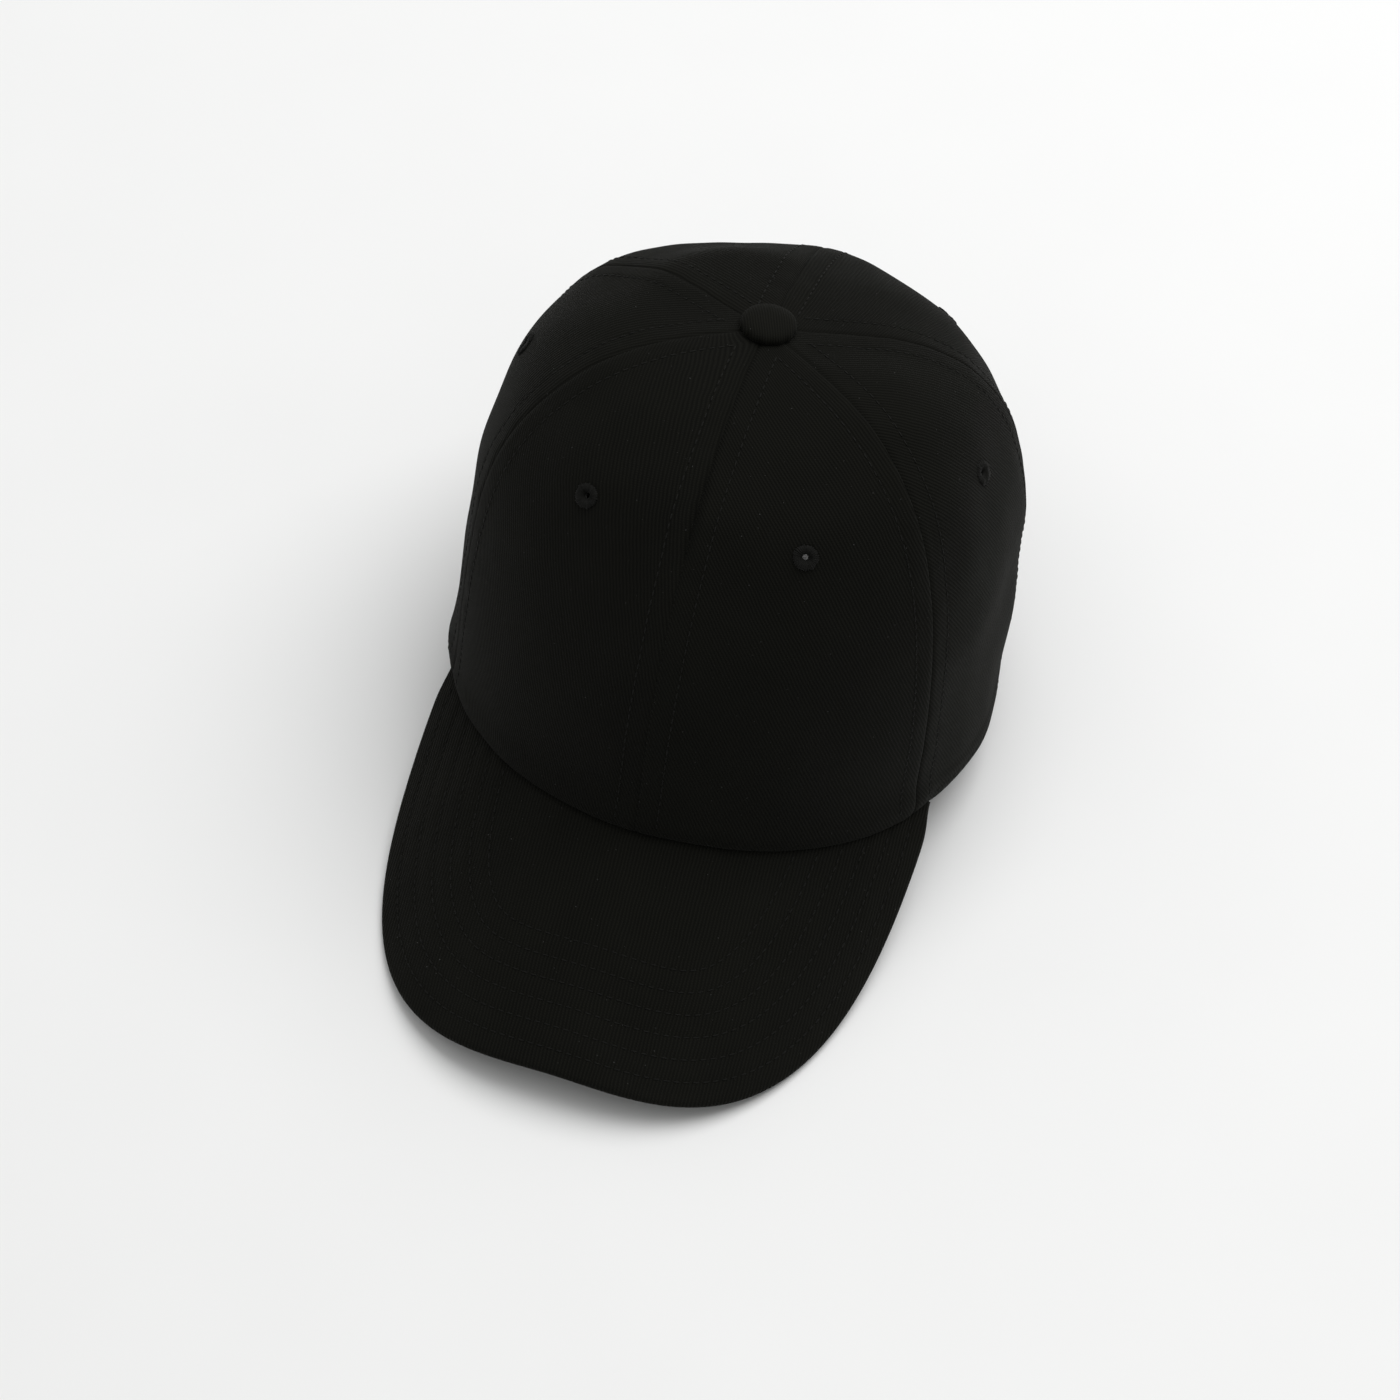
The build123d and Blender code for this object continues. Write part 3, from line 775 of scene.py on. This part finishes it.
class CAP_OT_seams(bpy.types.Operator):
    """Topstitches both sides of every seam and the hem"""

    bl_idname = "cap.seams"
    bl_label = "Seam stitches"

    def execute(self, context):
        sizes = context.scene.cap_sizes
        rows = []
        for seam in SEAM_ANGLES:
            low = 0.34 if abs(seam) == 180 else 0.035
            for side in (-1, 1):
                if seam * side == 180:
                    continue
                a, s = seam_row(seam, side * sizes.topstitch, low)
                points, normals = crown_shape(a, s, 0.12)
                rows.append((points, normals))
        for side in (-1, 1):
            a = np.linspace(66, 145, 260) * side
            s = 3.0 / length_at(a)
            points, normals = crown_shape(a, s, 0.1)
            rows.append((points, normals))
        stitches("stitches_seams", rows, "crown", length=sizes.stitch)
        return {"FINISHED"}


def eyelet_place(name):
    """Angle and share up of a panel's eyelet."""
    a = sum(PANELS[name]) / 2
    full = float(length_at(a))
    return a, EYELET_AT * (full + CROWN_HOLE) / full


def eyelet_ring(a, s, depth):
    """Rings of points of one stitched eyelet, in the cap's frame."""
    centre, normal = crown_shape(np.array([a]), np.array([s]), 0.0)
    centre, normal = centre[0], normal[0]
    up = np.array([0, 0, 1.0])
    x = np.cross(up, normal)
    x = x / np.linalg.norm(x)
    y = np.cross(normal, x)
    lip = 0.55
    loop = [(0.8, -depth / 2), (0.85, -0.4), (1.35, 0.16), (2.1, lip), (2.8, lip * 0.95), (3.3, 0.4),
            (3.6, 0.02), (3.3, -0.25), (2.3, -0.3), (2.2, -depth + 0.3), (3.3, -depth + 0.1),
            (3.5, -depth - 0.15), (2.9, -depth - 0.5), (2.0, -depth - 0.45), (1.0, -depth - 0.05)]
    count = 132
    rings = []
    wobble = np.random.default_rng(int(abs(a) * 10) + 3).normal(0, 0.05, count)
    for k in range(count):
        t = 2 * np.pi * k / count
        ridge = 0.5 + 0.5 * np.cos(2 * np.pi * k / 4) + 5.0 * wobble[k - 1]
        ring = []
        for radius, height in loop:
            out = 1 if height > -0.3 else (-1 if height < -depth + 0.2 else 0)
            reach = radius + (0.22 * ridge + 1.5 * wobble[k]) * (radius > 3)
            rise = height + out * 0.2 * (ridge - 0.5) * (radius > 1.3)
            ring.append(centre + (x * np.cos(t) + y * np.sin(t)) * reach + normal * rise)
        rings.append(ring)
    return np.array(rings)


class CAP_OT_eyelets(bpy.types.Operator):
    """Works the six stitched eyelets"""

    bl_idname = "cap.eyelets"
    bl_label = "Eyelets"

    def execute(self, context):
        worked = thread("black eyelet thread", context.scene.cap_colours.cloth * 0.95)
        for name in PANELS:
            a, s = eyelet_place(name)
            depth = 1.65 if name.startswith("front") else 1.0
            rings = eyelet_ring(a, s, depth)
            uv = np.zeros(rings.shape[:2] + (2,))
            obj = tube_mesh("stitched_eyelet_" + name, placed(rings), uv, worked, closed=True)
            finished(obj, "crown", "thread", "eyelet_" + name)
        return {"FINISHED"}


class CAP_OT_button(bpy.types.Operator):
    """Covers the top button with cloth"""

    bl_idname = "cap.button"
    bl_label = "Button"

    def execute(self, context):
        cloth = twill("black twill button", context.scene.cap_colours.cloth * 1.15, 24, 0.75, 0.00008)
        loop = [(0.02, 0.0), (5.0, 0.1), (7.2, 0.0), (7.9, 0.3), (8.2, 1.1), (8.2, 1.9), (7.8, 2.75),
                (7.0, 3.4), (5.8, 3.95), (4.3, 4.4), (2.8, 4.65), (1.3, 4.78), (0.02, 4.8)]
        t = np.linspace(0, 2 * np.pi, 96, endpoint=False)
        rows, uvs = [], []
        for radius, height in loop:
            pleat = 0.1 * np.cos(t * 14 + 0.6 * np.sin(t * 3)) * (radius > 6) * (height < 2)
            r = radius + pleat
            z = CROWN_H + BUTTON_LIFT + height + 0.03 * np.sin(3 * t + 1) * (radius > 2)
            rows.append(np.stack([r * np.cos(t), r * np.sin(t), np.broadcast_to(z, t.shape)], -1))
            fold = radius if height > 1.2 else 8.2 + (8.2 - radius)
            uvs.append(np.stack([fold * np.cos(t), fold * np.sin(t)], -1))
        obj = tube_mesh("button_cloth", placed(np.array(rows)), np.array(uvs), cloth)
        finished(obj, "crown", "twill", "button_cover")
        return {"FINISHED"}


def visor_outline(count):
    """The outer edge on the visor's unrolled surface, from the right temple to the left, (p, q), mm."""
    turn = math.radians(TEMPLE)
    back_y = float(rim(TEMPLE)) * math.cos(turn)
    u = np.radians(np.linspace(0, 90, count))
    span = VISOR_L + FRONT - back_y
    x = VISOR_HALF * np.cos(u) ** (2 / VISOR_CORNER)
    y = -back_y - span * np.sin(u) ** (2 / VISOR_CORNER)
    run = np.concatenate([[0], np.cumsum(np.hypot(np.diff(x), np.diff(y)))])
    even = np.linspace(0, run[-1], count)
    x, y = np.interp(even, run, x), np.interp(even, run, y)
    x = x - 1.7 * np.exp(-(even / 6.0) ** 2)
    x, y = np.concatenate([x, -x[-2::-1]]), np.concatenate([y, y[-2::-1]])
    return unroll(x, y)


def unroll(x, y):
    """The visor's point over (x, y), on its unrolled surface."""
    t = np.arcsin(np.clip(x / VISOR_R, -0.99, 0.99))
    sag = VISOR_R * (1 - np.cos(t))
    slope = math.radians(SLOPE)
    return np.stack([VISOR_R * t, (y + FRONT - sag * math.sin(slope)) / math.cos(slope)], -1)


def visor_shape(pq, lift):
    """Point and normal on the visor, lift mm above its top, in the cap's frame."""
    t = pq[..., 0] / VISOR_R
    slope = math.radians(SLOPE)
    y_dir = np.array([0, math.cos(slope), math.sin(slope)])
    z_dir = np.array([0, -math.sin(slope), math.cos(slope)])
    x_dir = np.array([1.0, 0, 0])
    r = (VISOR_R + lift)[..., None] if np.ndim(lift) else VISOR_R + lift
    local_x = r * np.sin(t)[..., None]
    local_z = r * np.cos(t)[..., None] - VISOR_R
    point = np.array([0, -FRONT, VISOR_Z]) + local_x * x_dir + pq[..., 1:2] * y_dir + local_z * z_dir
    normal = np.sin(t)[..., None] * x_dir + np.cos(t)[..., None] * z_dir
    return point, normal


def inwards(line):
    """Unit vectors pointing into the visor from its unrolled outline."""
    along = np.gradient(line, axis=0)
    n = np.stack([along[:, 1], -along[:, 0]], -1)
    n = n / np.linalg.norm(n, axis=1, keepdims=True)
    middle = np.array([0.0, -20.0])
    return np.where(((middle - line) * n).sum(1, keepdims=True) > 0, n, -n)


def edge_distance(pq, line):
    """Distance from each point to the nearest stretch of the line."""
    flat = pq.reshape(-1, 2)
    a, b = line[:-1], line[1:]
    ab = b - a
    out = np.full(len(flat), 1e9)
    for i in range(0, len(flat), 2000):
        q = flat[i:i + 2000, None]
        w = np.clip(((q - a) * ab).sum(-1) / (ab * ab).sum(-1), 0, 1)
        out[i:i + 2000] = np.linalg.norm(q - a - ab * w[..., None], axis=-1).min(1)
    return out.reshape(pq.shape[:-1])


def visor_grid(outline, rows=64, radius=1.65):
    """Unrolled grid from the rolled edge to inside the hem, with the drop of its rolled rows."""
    n = inwards(outline)
    a = np.linspace(TEMPLE, -TEMPLE, len(outline))
    r = rim(a) - VISOR_IN
    hem_line = unroll(r * np.sin(np.radians(a)), -r * np.cos(np.radians(a)))
    grid, drops = [], []
    for turn in (90, 68, 46, 24):
        inset = radius * (1 - math.sin(math.radians(turn)))
        grid.append(outline + n * inset)
        drops.append(radius * (1 - math.cos(math.radians(turn))))
    start = outline + n * radius
    for w in np.linspace(0, 1, rows) ** 1.05:
        grid.append(start * (1 - w) + hem_line * w)
        drops.append(0.0)
    return np.array(grid), np.array(drops)


def visor_rows():
    """How far in from the edge each row of stitches runs, mm."""
    return [FIRST_ROW + bpy.context.scene.cap_sizes.visor_row * k for k in range(ROWS)]


def visor_relief(distance, points, seed):
    """How far the cover stands proud of the visor, mm: sunk at its rows, swollen between them."""
    d = 0.0
    for row in visor_rows():
        d = d - 0.16 * hill(distance, row, 0.6)
    gap = bpy.context.scene.cap_sizes.visor_row
    between = 0.07 * np.sin(np.pi * np.clip((distance - FIRST_ROW) / gap, 0, ROWS - 1)) ** 2
    d = d + between + 0.07 * waves(points, 7.5, seed) + 0.12 * waves(points, 30, seed + 1)
    return d * step(distance, 0.0, 3.0)


class CAP_OT_visor(bpy.types.Operator):
    """Covers the visor board and stitches it"""

    bl_idname = "cap.visor"
    bl_label = "Visor"

    def execute(self, context):
        value = context.scene.cap_colours.cloth
        outline = visor_outline(90)
        grid, drops = visor_grid(outline)
        distance = edge_distance(grid, outline)
        for name, side, seed in VISOR_SIDES:
            base = -drops[:, None] if side > 0 else -VISOR_THICK + drops[:, None]
            lift = np.broadcast_to(base, grid.shape[:2])
            flat, _ = visor_shape(grid, lift)
            bump = visor_relief(distance, flat, seed) * side
            outer, normals = visor_shape(grid, lift + bump)
            rolled = (drops[:, None] > 0) | (distance < 1.7)
            depth = np.where(rolled, 0.35, 0.55)
            pull = inwards(outline)[None] * np.where(drops > 0.3, 0.45, 0.0)[:, None, None]
            inner, _ = visor_shape(grid + pull, lift + bump - side * depth * (drops[:, None] < 1.2))
            # Both covers are painted 1.12 times lighter than the crown's cloth of the same twill: painted
            # light, for the visor's top that faces up into the light.
            cloth = twill("black twill visor " + name, value * 1.12, 4 if side > 0 else 6, 1.05, 0.00022)
            obj = sheet_mesh("visor_cloth_" + name, placed(outer), placed(inner), grid, cloth)
            finished(obj, "crown", "twill", "visor_cover_" + name)
        rows = []
        n = inwards(outline)
        for row in visor_rows():
            line = outline + n * row
            for _, side, seed in VISOR_SIDES:
                lift = np.zeros(len(line)) if side > 0 else np.full(len(line), -VISOR_THICK)
                p, normals = visor_shape(line, lift)
                angle = np.degrees(np.arctan2(p[:, 0], -p[:, 1]))
                keep = (radius_of(p) > rim(angle) + 1.2) & (edge_distance(line, outline) > row - 0.4)
                swell = visor_relief(np.full(len(line), row), p, seed)
                p = p + normals * ((swell + 0.14) * side)[:, None]
                rows.append((p[keep], (normals * side)[keep]))
        stitches("stitches_visor", rows, "crown", length=2.3, pitch=2.9)
        return {"FINISHED"}


def wrapped(a):
    """An angle brought back to -180 to 180 degrees."""
    return (a + 180.0) % 360.0 - 180.0


def tape_strip(seam, low, high=0.992, count=110, width=TAPE_W):
    """Grid of angles and shares up that a seam tape covers, and how far each column is from the seam, mm."""
    s = np.linspace(low, high, count)[:, None]
    x = np.linspace(-1, 1, 11)[None]
    r = radius_of(bare(np.full_like(s, float(seam)), s))
    half = np.minimum(width / 2, r * math.tan(math.radians(25)))
    across = half * x
    a = wrapped(seam + np.degrees(across / r))
    return a, np.broadcast_to(s, a.shape).copy(), across


class CAP_OT_lining(bpy.types.Operator):
    """Lines the front panels and tapes the seams inside"""

    bl_idname = "cap.lining"
    bl_label = "Lining and tapes"

    def execute(self, context):
        stiff = weave("black buckram", context.scene.cap_colours.cloth * 2.2, 0.9, 0.8)
        cloth = weave("black seam tape", context.scene.cap_colours.cloth * 1.7, 0.5)
        for name, sign in (("right", 1), ("left", -1)):
            middle = SEAM_1 / 2
            s = np.linspace(0.045, 0.93, 80)[:, None]
            r = radius_of(bare(np.full_like(s, middle), s))
            a0, a1 = np.degrees(0.4 / r), SEAM_1 - np.degrees(8.2 / r)
            a = a0 + (a1 - a0) * np.linspace(0, 1, 44)[None]
            s = np.broadcast_to(s, a.shape).copy()
            flat, area = cut_size(a, s, 0.5)
            hole = open_eyelet(a, s, *eyelet_place("front_right"))
            if sign < 0:
                a, s, hole = -a[:, ::-1], s[:, ::-1], hole[:, ::-1]
            outer, _ = crown_shape(a, s, -1.06)
            inner, _ = crown_shape(a, s, -1.62)
            uv = cloth_uv(a, s, middle * sign)
            obj = sheet_mesh("buckram_lining_" + name, placed(outer), placed(inner), uv, stiff, hole)
            finished(obj, "crown", "buckram", "buckram_" + name)
        tapes = {"tape_front": (0, TAPE_DEPTH_FRONT, "front_left", "front_right"),
                 "tape_side_front_right": (SEAM_1, TAPE_DEPTH, "front_right", "side_right"),
                 "tape_side_front_left": (-SEAM_1, TAPE_DEPTH, "front_left", "side_left"),
                 "tape_side_back_right": (SEAM_2, TAPE_DEPTH, "side_right", "back_right"),
                 "tape_side_back_left": (-SEAM_2, TAPE_DEPTH, "side_left", "back_left"),
                 "tape_back": (180, TAPE_DEPTH, "back_left", "back_right")}
        over_arch = float(on_crown(np.array([1e-6]), np.array([ARCH_RISE + 54.5]))[1][0])
        rows = []
        for name, (seam, depth, *beside) in tapes.items():
            low = 0.05 if seam != 180 else over_arch
            a, s, across = tape_strip(seam, low)
            swell = 0.35 * hill(across, 0, 3.5) + 0.05 * waves(bare(a, s), 6.0, 77)
            outer, _ = crown_shape(a, s, -depth - 0.02)
            inner, _ = crown_shape(a, s, -depth - TAPE_T - swell)
            uv = np.stack([across, s * length_at(a)], -1)
            obj = sheet_mesh("cloth_" + name, placed(outer), placed(inner), uv, cloth)
            finished(obj, "crown", "tape", name)
            flat, area = cut_size(a, s, 0.0)
            for side in (1, 9):
                points, normals = crown_shape(a[:, side], s[:, side], -depth - TAPE_T - 0.1)
                rows.append((points[:100], -normals[:100]))
        stitches("stitches_tapes", rows, "crown")
        return {"FINISHED"}


def band_loop(a):
    """Depth below the crown's outside and height above the hem round the sweatband's section, mm."""
    w = float(step(abs(a), POCKET_FROM, POCKET_FULL))
    out = BAND_DEPTH + (POCKET_DEPTH - BAND_DEPTH) * w
    sewn = ALLOWANCE + (3.0 - ALLOWANCE) * w
    low = 0.4 + 2.5 * (1 - float(step(abs(a), 62.0, 68.0)))
    back = out + BAND_T
    return [(1.15, low), (1.15, (low + sewn) / 2), (1.2, sewn - 0.5), (min(out, 1.9), sewn - 0.1),
            (out, sewn + 0.6), (out, 13), (out, 19), (out, 25), (out - 0.1, 30), (out - 0.05, 31.4),
            (out + 0.35, 32.0), (out + 0.9, 32.05), (back + 0.05, 31.5), (back + 0.15, 30.4),
            (back - 0.08, 28.6), (back, 25), (back, 19), (back, 13), (back, 8), (back - 0.05, low + 2.6),
            (back - 0.1, low + 0.7), (out + 0.6, low), (1.7, low)]


class CAP_OT_sweatband(bpy.types.Operator):
    """Sews the sweatband round the inside of the hem"""

    bl_idname = "cap.sweatband"
    bl_label = "Sweatband"

    def execute(self, context):
        cloth = twill("black sweatband twill", context.scene.cap_colours.cloth * 1.3, 32, 0.7, 0.0001)
        angles = np.linspace(-BAND_END, BAND_END, 321)
        rings, uvs = [], []
        for a in angles:
            loop = np.array(band_loop(a))
            depth, height = loop[:, 0], loop[:, 1]
            s = height / float(length_at(a))
            turn = np.full_like(s, a)
            p = bare(turn, s)
            n = bare_normal(turn, s)
            worn = relief(turn, s, p)
            near = np.where(depth < 2.0, 1.0, 0.2)
            free = 0.12 * (1 + waves(p, 24, 61)) * step(depth, 1.5, 2.5)
            free = free * (1 - step(abs(a), 110, POCKET_FROM))
            rings.append(p + n * (worn * near - depth - free)[:, None])
            run = run_along(p - n * depth[:, None])
            uvs.append(np.stack([np.full_like(run, np.radians(a) * 86.0), run], -1))
        obj = tube_mesh("sweatband_cloth", placed(np.array(rings)), np.array(uvs), cloth)
        finished(obj, "crown", "sweatband", "sweatband")
        rows = []
        for height in (5.2, 28.6):
            turn = np.linspace(-BAND_END + 1.5, BAND_END - 1.5, 420)
            s = height / length_at(turn)
            p, n = bare(turn, s), bare_normal(turn, s)
            w = step(np.abs(turn), POCKET_FROM, POCKET_FULL)
            depth = BAND_DEPTH + (POCKET_DEPTH - BAND_DEPTH) * w + BAND_T + (0.06 if height > 20 else 0.12)
            worn = 0.2 * relief(turn, s, p)
            free = 0.12 * (1 + waves(p, 24, 61)) * (1 - step(np.abs(turn), 110, POCKET_FROM))
            rows.append((p + n * (worn - depth - free)[:, None], -n))
        stitches("stitches_sweatband", rows, "crown")
        return {"FINISHED"}


# The binding's folded section: distance from the opening's centre and height off the cloth, mm
BIND_LOOP = (
    (53, 0.05), (53, 0.42), (51.4, 0.5), (49.5, 0.55), (47.4, 0.55), (46.6, 0.35), (46.45, -0.1),
    (46.45, -0.9), (46.6, -1.35), (47.4, -1.55), (49.5, -1.55), (51.4, -1.5), (53, -1.42), (53, -1.02),
    (49.5, -1.02), (48.1, -1.0), (47.9, -0.5), (48.1, 0.0), (49.5, 0.02),
)


def arch_at(radius, count=64):
    """Angles and shares up along the whole back opening at one radius, right foot to left foot."""
    x, z = arch_curve(radius, count)
    x[-1] = 1e-6
    foot = float(hem(np.array([180 - math.degrees(math.asin(radius / BACK_RADIUS))]))[0])
    z = np.maximum(z, foot + (z + 0.05) * 0.02)
    a, s = on_crown(x, z)
    return np.concatenate([a, -a[-2::-1]]), np.concatenate([s, s[-2::-1]])


class CAP_OT_opening(bpy.types.Operator):
    """Binds the edge of the back opening"""

    bl_idname = "cap.opening"
    bl_label = "Back opening"

    def execute(self, context):
        cloth = twill("black twill binding", context.scene.cap_colours.cloth * 1.05, 45)
        lines = {radius: arch_at(radius) for radius in sorted({r for r, _ in BIND_LOOP})}
        columns, uvs = [], []
        run = 0.0
        for k, (radius, lift) in enumerate(BIND_LOOP):
            a, s = lines[radius]
            p = bare(a, s)
            ripple = 0.1 * waves(p, 7.0, 91) * np.sign(lift + 0.5) * (abs(lift + 0.5) > 0.7)
            points, _ = crown_shape(a, s, lift + ripple)
            along = run_along(p)
            if k:
                run += math.hypot(radius - BIND_LOOP[k - 1][0], lift - BIND_LOOP[k - 1][1])
            columns.append(points)
            uvs.append(np.stack([along, np.full_like(along, run)], -1))
        rings = np.stack(columns, 1)
        obj = tube_mesh("binding_cloth", placed(rings), np.stack(uvs, 1), cloth)
        finished(obj, "crown", "binding", "arch_binding")
        rows = []
        for radius in (48.3, 51.9):
            a, s = arch_at(radius)
            for lift, sign in ((0.66, 1), (-1.66, -1)):
                points, normals = crown_shape(a, s, lift)
                rows.append((points[2:-2], (normals * sign)[2:-2]))
        stitches("stitches_binding", rows, "crown")
        return {"FINISHED"}


def ring_point(r, turn, z):
    """Point on the ring about the strap's axis, turned from the back towards the right, degrees."""
    t = np.radians(turn)
    return np.stack(np.broadcast_arrays(r * np.sin(t), STRAP_Y + r * np.cos(t), z), -1)


def ring_out(turn):
    """Unit vector out from the strap's axis."""
    return ring_point(1.0, turn, 0.0) - np.array([0, STRAP_Y, 0])


def ribbon(name, centre, outward, low, high, thickness, material):
    """Band of cloth that follows centre, on edge between the heights low and high, with soft edges."""
    half, soft = thickness / 2, min(0.35, thickness / 2 * 0.8)
    z = np.linspace(low + soft, high - soft, 13)
    rows = [(v, half - 0.1 * float(hill(v, low + 2.2, 0.5) + hill(v, high - 2.2, 0.5))) for v in z]
    loop = rows + [(high, half - soft), (high, soft - half)] + [(v, -d) for v, d in rows[::-1]]
    loop += [(low, soft - half), (low, half - soft)]
    run = run_along(centre)
    rings, uvs = [], []
    for v, d in loop:
        p = centre + outward * d
        p[:, 2] = v
        rings.append(p)
        uvs.append(np.stack([run, np.full_like(run, v)], -1))
    return tube_mesh(name, placed(np.stack(rings, 1)), np.stack(uvs, 1), material), float(run[-1]) * MM


class CAP_OT_strap(bpy.types.Operator):
    """Makes the strap, the tab that holds its buckle, and finishes the buckle"""

    bl_idname = "cap.strap"
    bl_label = "Strap and buckle"

    def execute(self, context):
        cloth = twill("black twill strap", context.scene.cap_colours.cloth * 1.1, 24)
        up = np.array([0.0, 0.0, 1.0])
        turn = np.linspace(STRAP_FROM, STRAP_TO, 160)
        centre = ring_point(STRAP_R - STRAP_T / 2, turn, STRAP_MID)
        outward = ring_out(turn)
        obj, length = ribbon("strap_cloth", centre, outward, STRAP_LOW, STRAP_HIGH, STRAP_T, cloth)
        finished(obj, "strap", "twill", "strap")
        rows = []
        for z in (STRAP_LOW + 2.2, STRAP_HIGH - 2.2):
            for side in (1, -1):
                p = ring_point(STRAP_R - STRAP_T / 2 + side * (STRAP_T / 2 - 0.02), turn[2:-2], z)
                rows.append((p, outward[2:-2] * side))
        stitches("stitches_strap", rows, "strap", height=0.28)

        lower = np.linspace(STRAP_TO - 0.5, BAR_AT + 0.6, 40)
        bar = ring_point(BAR_RING, BAR_AT, STRAP_MID)
        out_dir = ring_out(BAR_AT)
        side_dir = np.cross(out_dir, up)
        swing = np.radians(np.linspace(0, 180, 25))[1:-1, None]
        loop = bar - out_dir * np.cos(swing) * TAB_LOOP - side_dir * np.sin(swing) * TAB_LOOP
        upper = lower[::-1]
        top_r = TAB_TOP + (BAR_RING + TAB_LOOP - TAB_TOP) * (1 - step(upper, BAR_AT + 0.4, BAR_AT + 5.5))
        path = np.concatenate([ring_point(BAR_RING - TAB_LOOP, lower, STRAP_MID), loop,
                               ring_point(top_r, upper, STRAP_MID)])
        along = np.gradient(path, axis=0)
        outward = np.cross(along, up)
        outward = outward / np.linalg.norm(outward, axis=1, keepdims=True)
        obj, length = ribbon("tab_cloth", path, outward, STRAP_LOW + 0.6, STRAP_HIGH - 0.6, TAB_PLY, cloth)
        finished(obj, "crown", "twill", "buckle_tab")
        rows = []
        turn = np.linspace(BAR_AT + 4.6, STRAP_TO - 2.0, 60)
        radius = TAB_TOP + TAB_PLY / 2 + 0.05
        facing = ring_out(turn)
        for z in (STRAP_LOW + 2.8, STRAP_HIGH - 2.8):
            rows.append((ring_point(radius, turn, z), facing))
        z = np.linspace(STRAP_LOW + 2.8, STRAP_HIGH - 2.8, 12)
        rows.append((ring_point(radius, BAR_AT + 4.6, z), np.repeat(facing[:1], 12, axis=0)))
        stitches("stitches_tab", rows, "crown", height=0.3)

        metal = buckle_metal("plated buckle metal", tuple(context.scene.cap_colours.metal))
        tin = buckle_metal("button tin", (0.45, 0.45, 0.44))
        board = moulded_board("visor board plastic")
        finishes = {metal: ("buckle_frame", "buckle_pin", "buckle_lever"),
                    tin: ("button_shell", "button_washer", "button_post"), board: ("visor_board",)}
        for material, nodes in finishes.items():
            for node in nodes:
                slots = frame["nodes"][node].material_slots
                if not slots:
                    frame["nodes"][node].data.materials.append(material)
                for place in slots:
                    place.material = material
        return {"FINISHED"}


# ---------------------------------------------------------------- stage

CAMERA = {"height": 43.942, "round": 13.307, "roll": 6.923, "distance": 1167.8, "pixels": 3958.5,
          "shift": (-0.39, 29.304), "look": (0.0, -30.0, 50.0)}


class CAP_OT_stage(bpy.types.Operator):
    """Sets the floor, the lights and the camera"""

    bl_idname = "cap.stage"
    bl_label = "Stage"

    def execute(self, context):
        scene = context.scene
        el, az, roll = (math.radians(CAMERA[k]) for k in ("height", "round", "roll"))
        back = Vector((math.sin(az) * math.cos(el), -math.cos(az) * math.cos(el), math.sin(el)))
        right = Vector((math.cos(az), math.sin(az), 0))
        up = back.cross(right)
        aim = Vector(CAMERA["look"]) - right * CAMERA["shift"][0] - up * CAMERA["shift"][1]
        x_dir = right * math.cos(roll) + up * math.sin(roll)
        y_dir = up * math.cos(roll) - right * math.sin(roll)
        turn = Matrix((x_dir, y_dir, back)).transposed().to_4x4()
        data = bpy.data.cameras.new("Camera")
        data.sensor_width = 36.0
        data.lens = CAMERA["pixels"] / 1400 * 36.0
        data.clip_end = 50.0
        camera = linked("Camera", data)
        place = turn.copy()
        place.translation = (aim + back * CAMERA["distance"]) * MM
        camera.matrix_world = CAP @ place
        scene.camera = camera

        net = Net("pale floor", Specular_IOR_Level=0.1)
        spot = net.node("ShaderNodeTexCoord", out=3)
        grain = net.noise(spot, 14.0, 2.0)
        net.feed(Base_Color=net.blend(grain, grey(0.86), grey(0.885)), Roughness=0.9)
        corners = [(-9, -9, 0), (9, -9, 0), (9, 9, 0), (-9, 9, 0)]
        floor = add_object("floor", corners, [(0, 1, 2, 3)], net.material)

        world = bpy.data.worlds.new("World")
        scene.world = world
        world.use_nodes = True
        sky = world.node_tree.nodes["Background"]
        sky.inputs["Color"].default_value = (0.99, 1.0, 0.985, 1)
        sky.inputs["Strength"].default_value = 0.4
        for name, spot, size, power in (
            ("overhead", (0.42, 0.72, 1.85), 1.8, 31.5),
            ("fill", (-0.2, -0.3, 2.1), 1.8, 6.0),
        ):
            data = bpy.data.lights.new(name, "AREA")
            data.size = size
            data.energy = power
            light = linked(name, data)
            light.location = spot
            light.rotation_euler = (Vector((0, 0, 0.05)) - light.location).to_track_quat("-Z", "Y").to_euler()
        scene.view_settings.view_transform = "Standard"
        return {"FINISHED"}


class CAP_PT_panel(bpy.types.Panel):
    """Lists the steps that build the cap"""

    bl_idname = "CAP_PT_panel"
    bl_label = "Cap"
    bl_space_type = "VIEW_3D"
    bl_region_type = "UI"
    bl_category = "Cap"

    def draw(self, context):
        for group in (context.scene.cap_sizes, context.scene.cap_colours):
            for key in group.__annotations__:
                self.layout.prop(group, key)
        for step_class in STEPS:
            self.layout.operator(step_class.bl_idname)


STEPS = (CAP_OT_panels, CAP_OT_seams, CAP_OT_eyelets, CAP_OT_button, CAP_OT_visor, CAP_OT_lining,
         CAP_OT_sweatband, CAP_OT_opening, CAP_OT_strap, CAP_OT_stage)


def register():
    for made in (CapSizes, CapColours, *STEPS, CAP_PT_panel):
        bpy.utils.register_class(made)
    bpy.types.Scene.cap_sizes = PointerProperty(type=CapSizes)
    bpy.types.Scene.cap_colours = PointerProperty(type=CapColours)


def unregister():
    del bpy.types.Scene.cap_colours
    del bpy.types.Scene.cap_sizes
    for made in (CAP_PT_panel, *reversed(STEPS), CapColours, CapSizes):
        bpy.utils.unregister_class(made)


def main():
    register()
    thread("black thread", bpy.context.scene.cap_colours.thread)
    for made in STEPS:
        group, name = made.bl_idname.split(".")
        getattr(getattr(bpy.ops, group), name)()


if __name__ == "__main__":
    main()
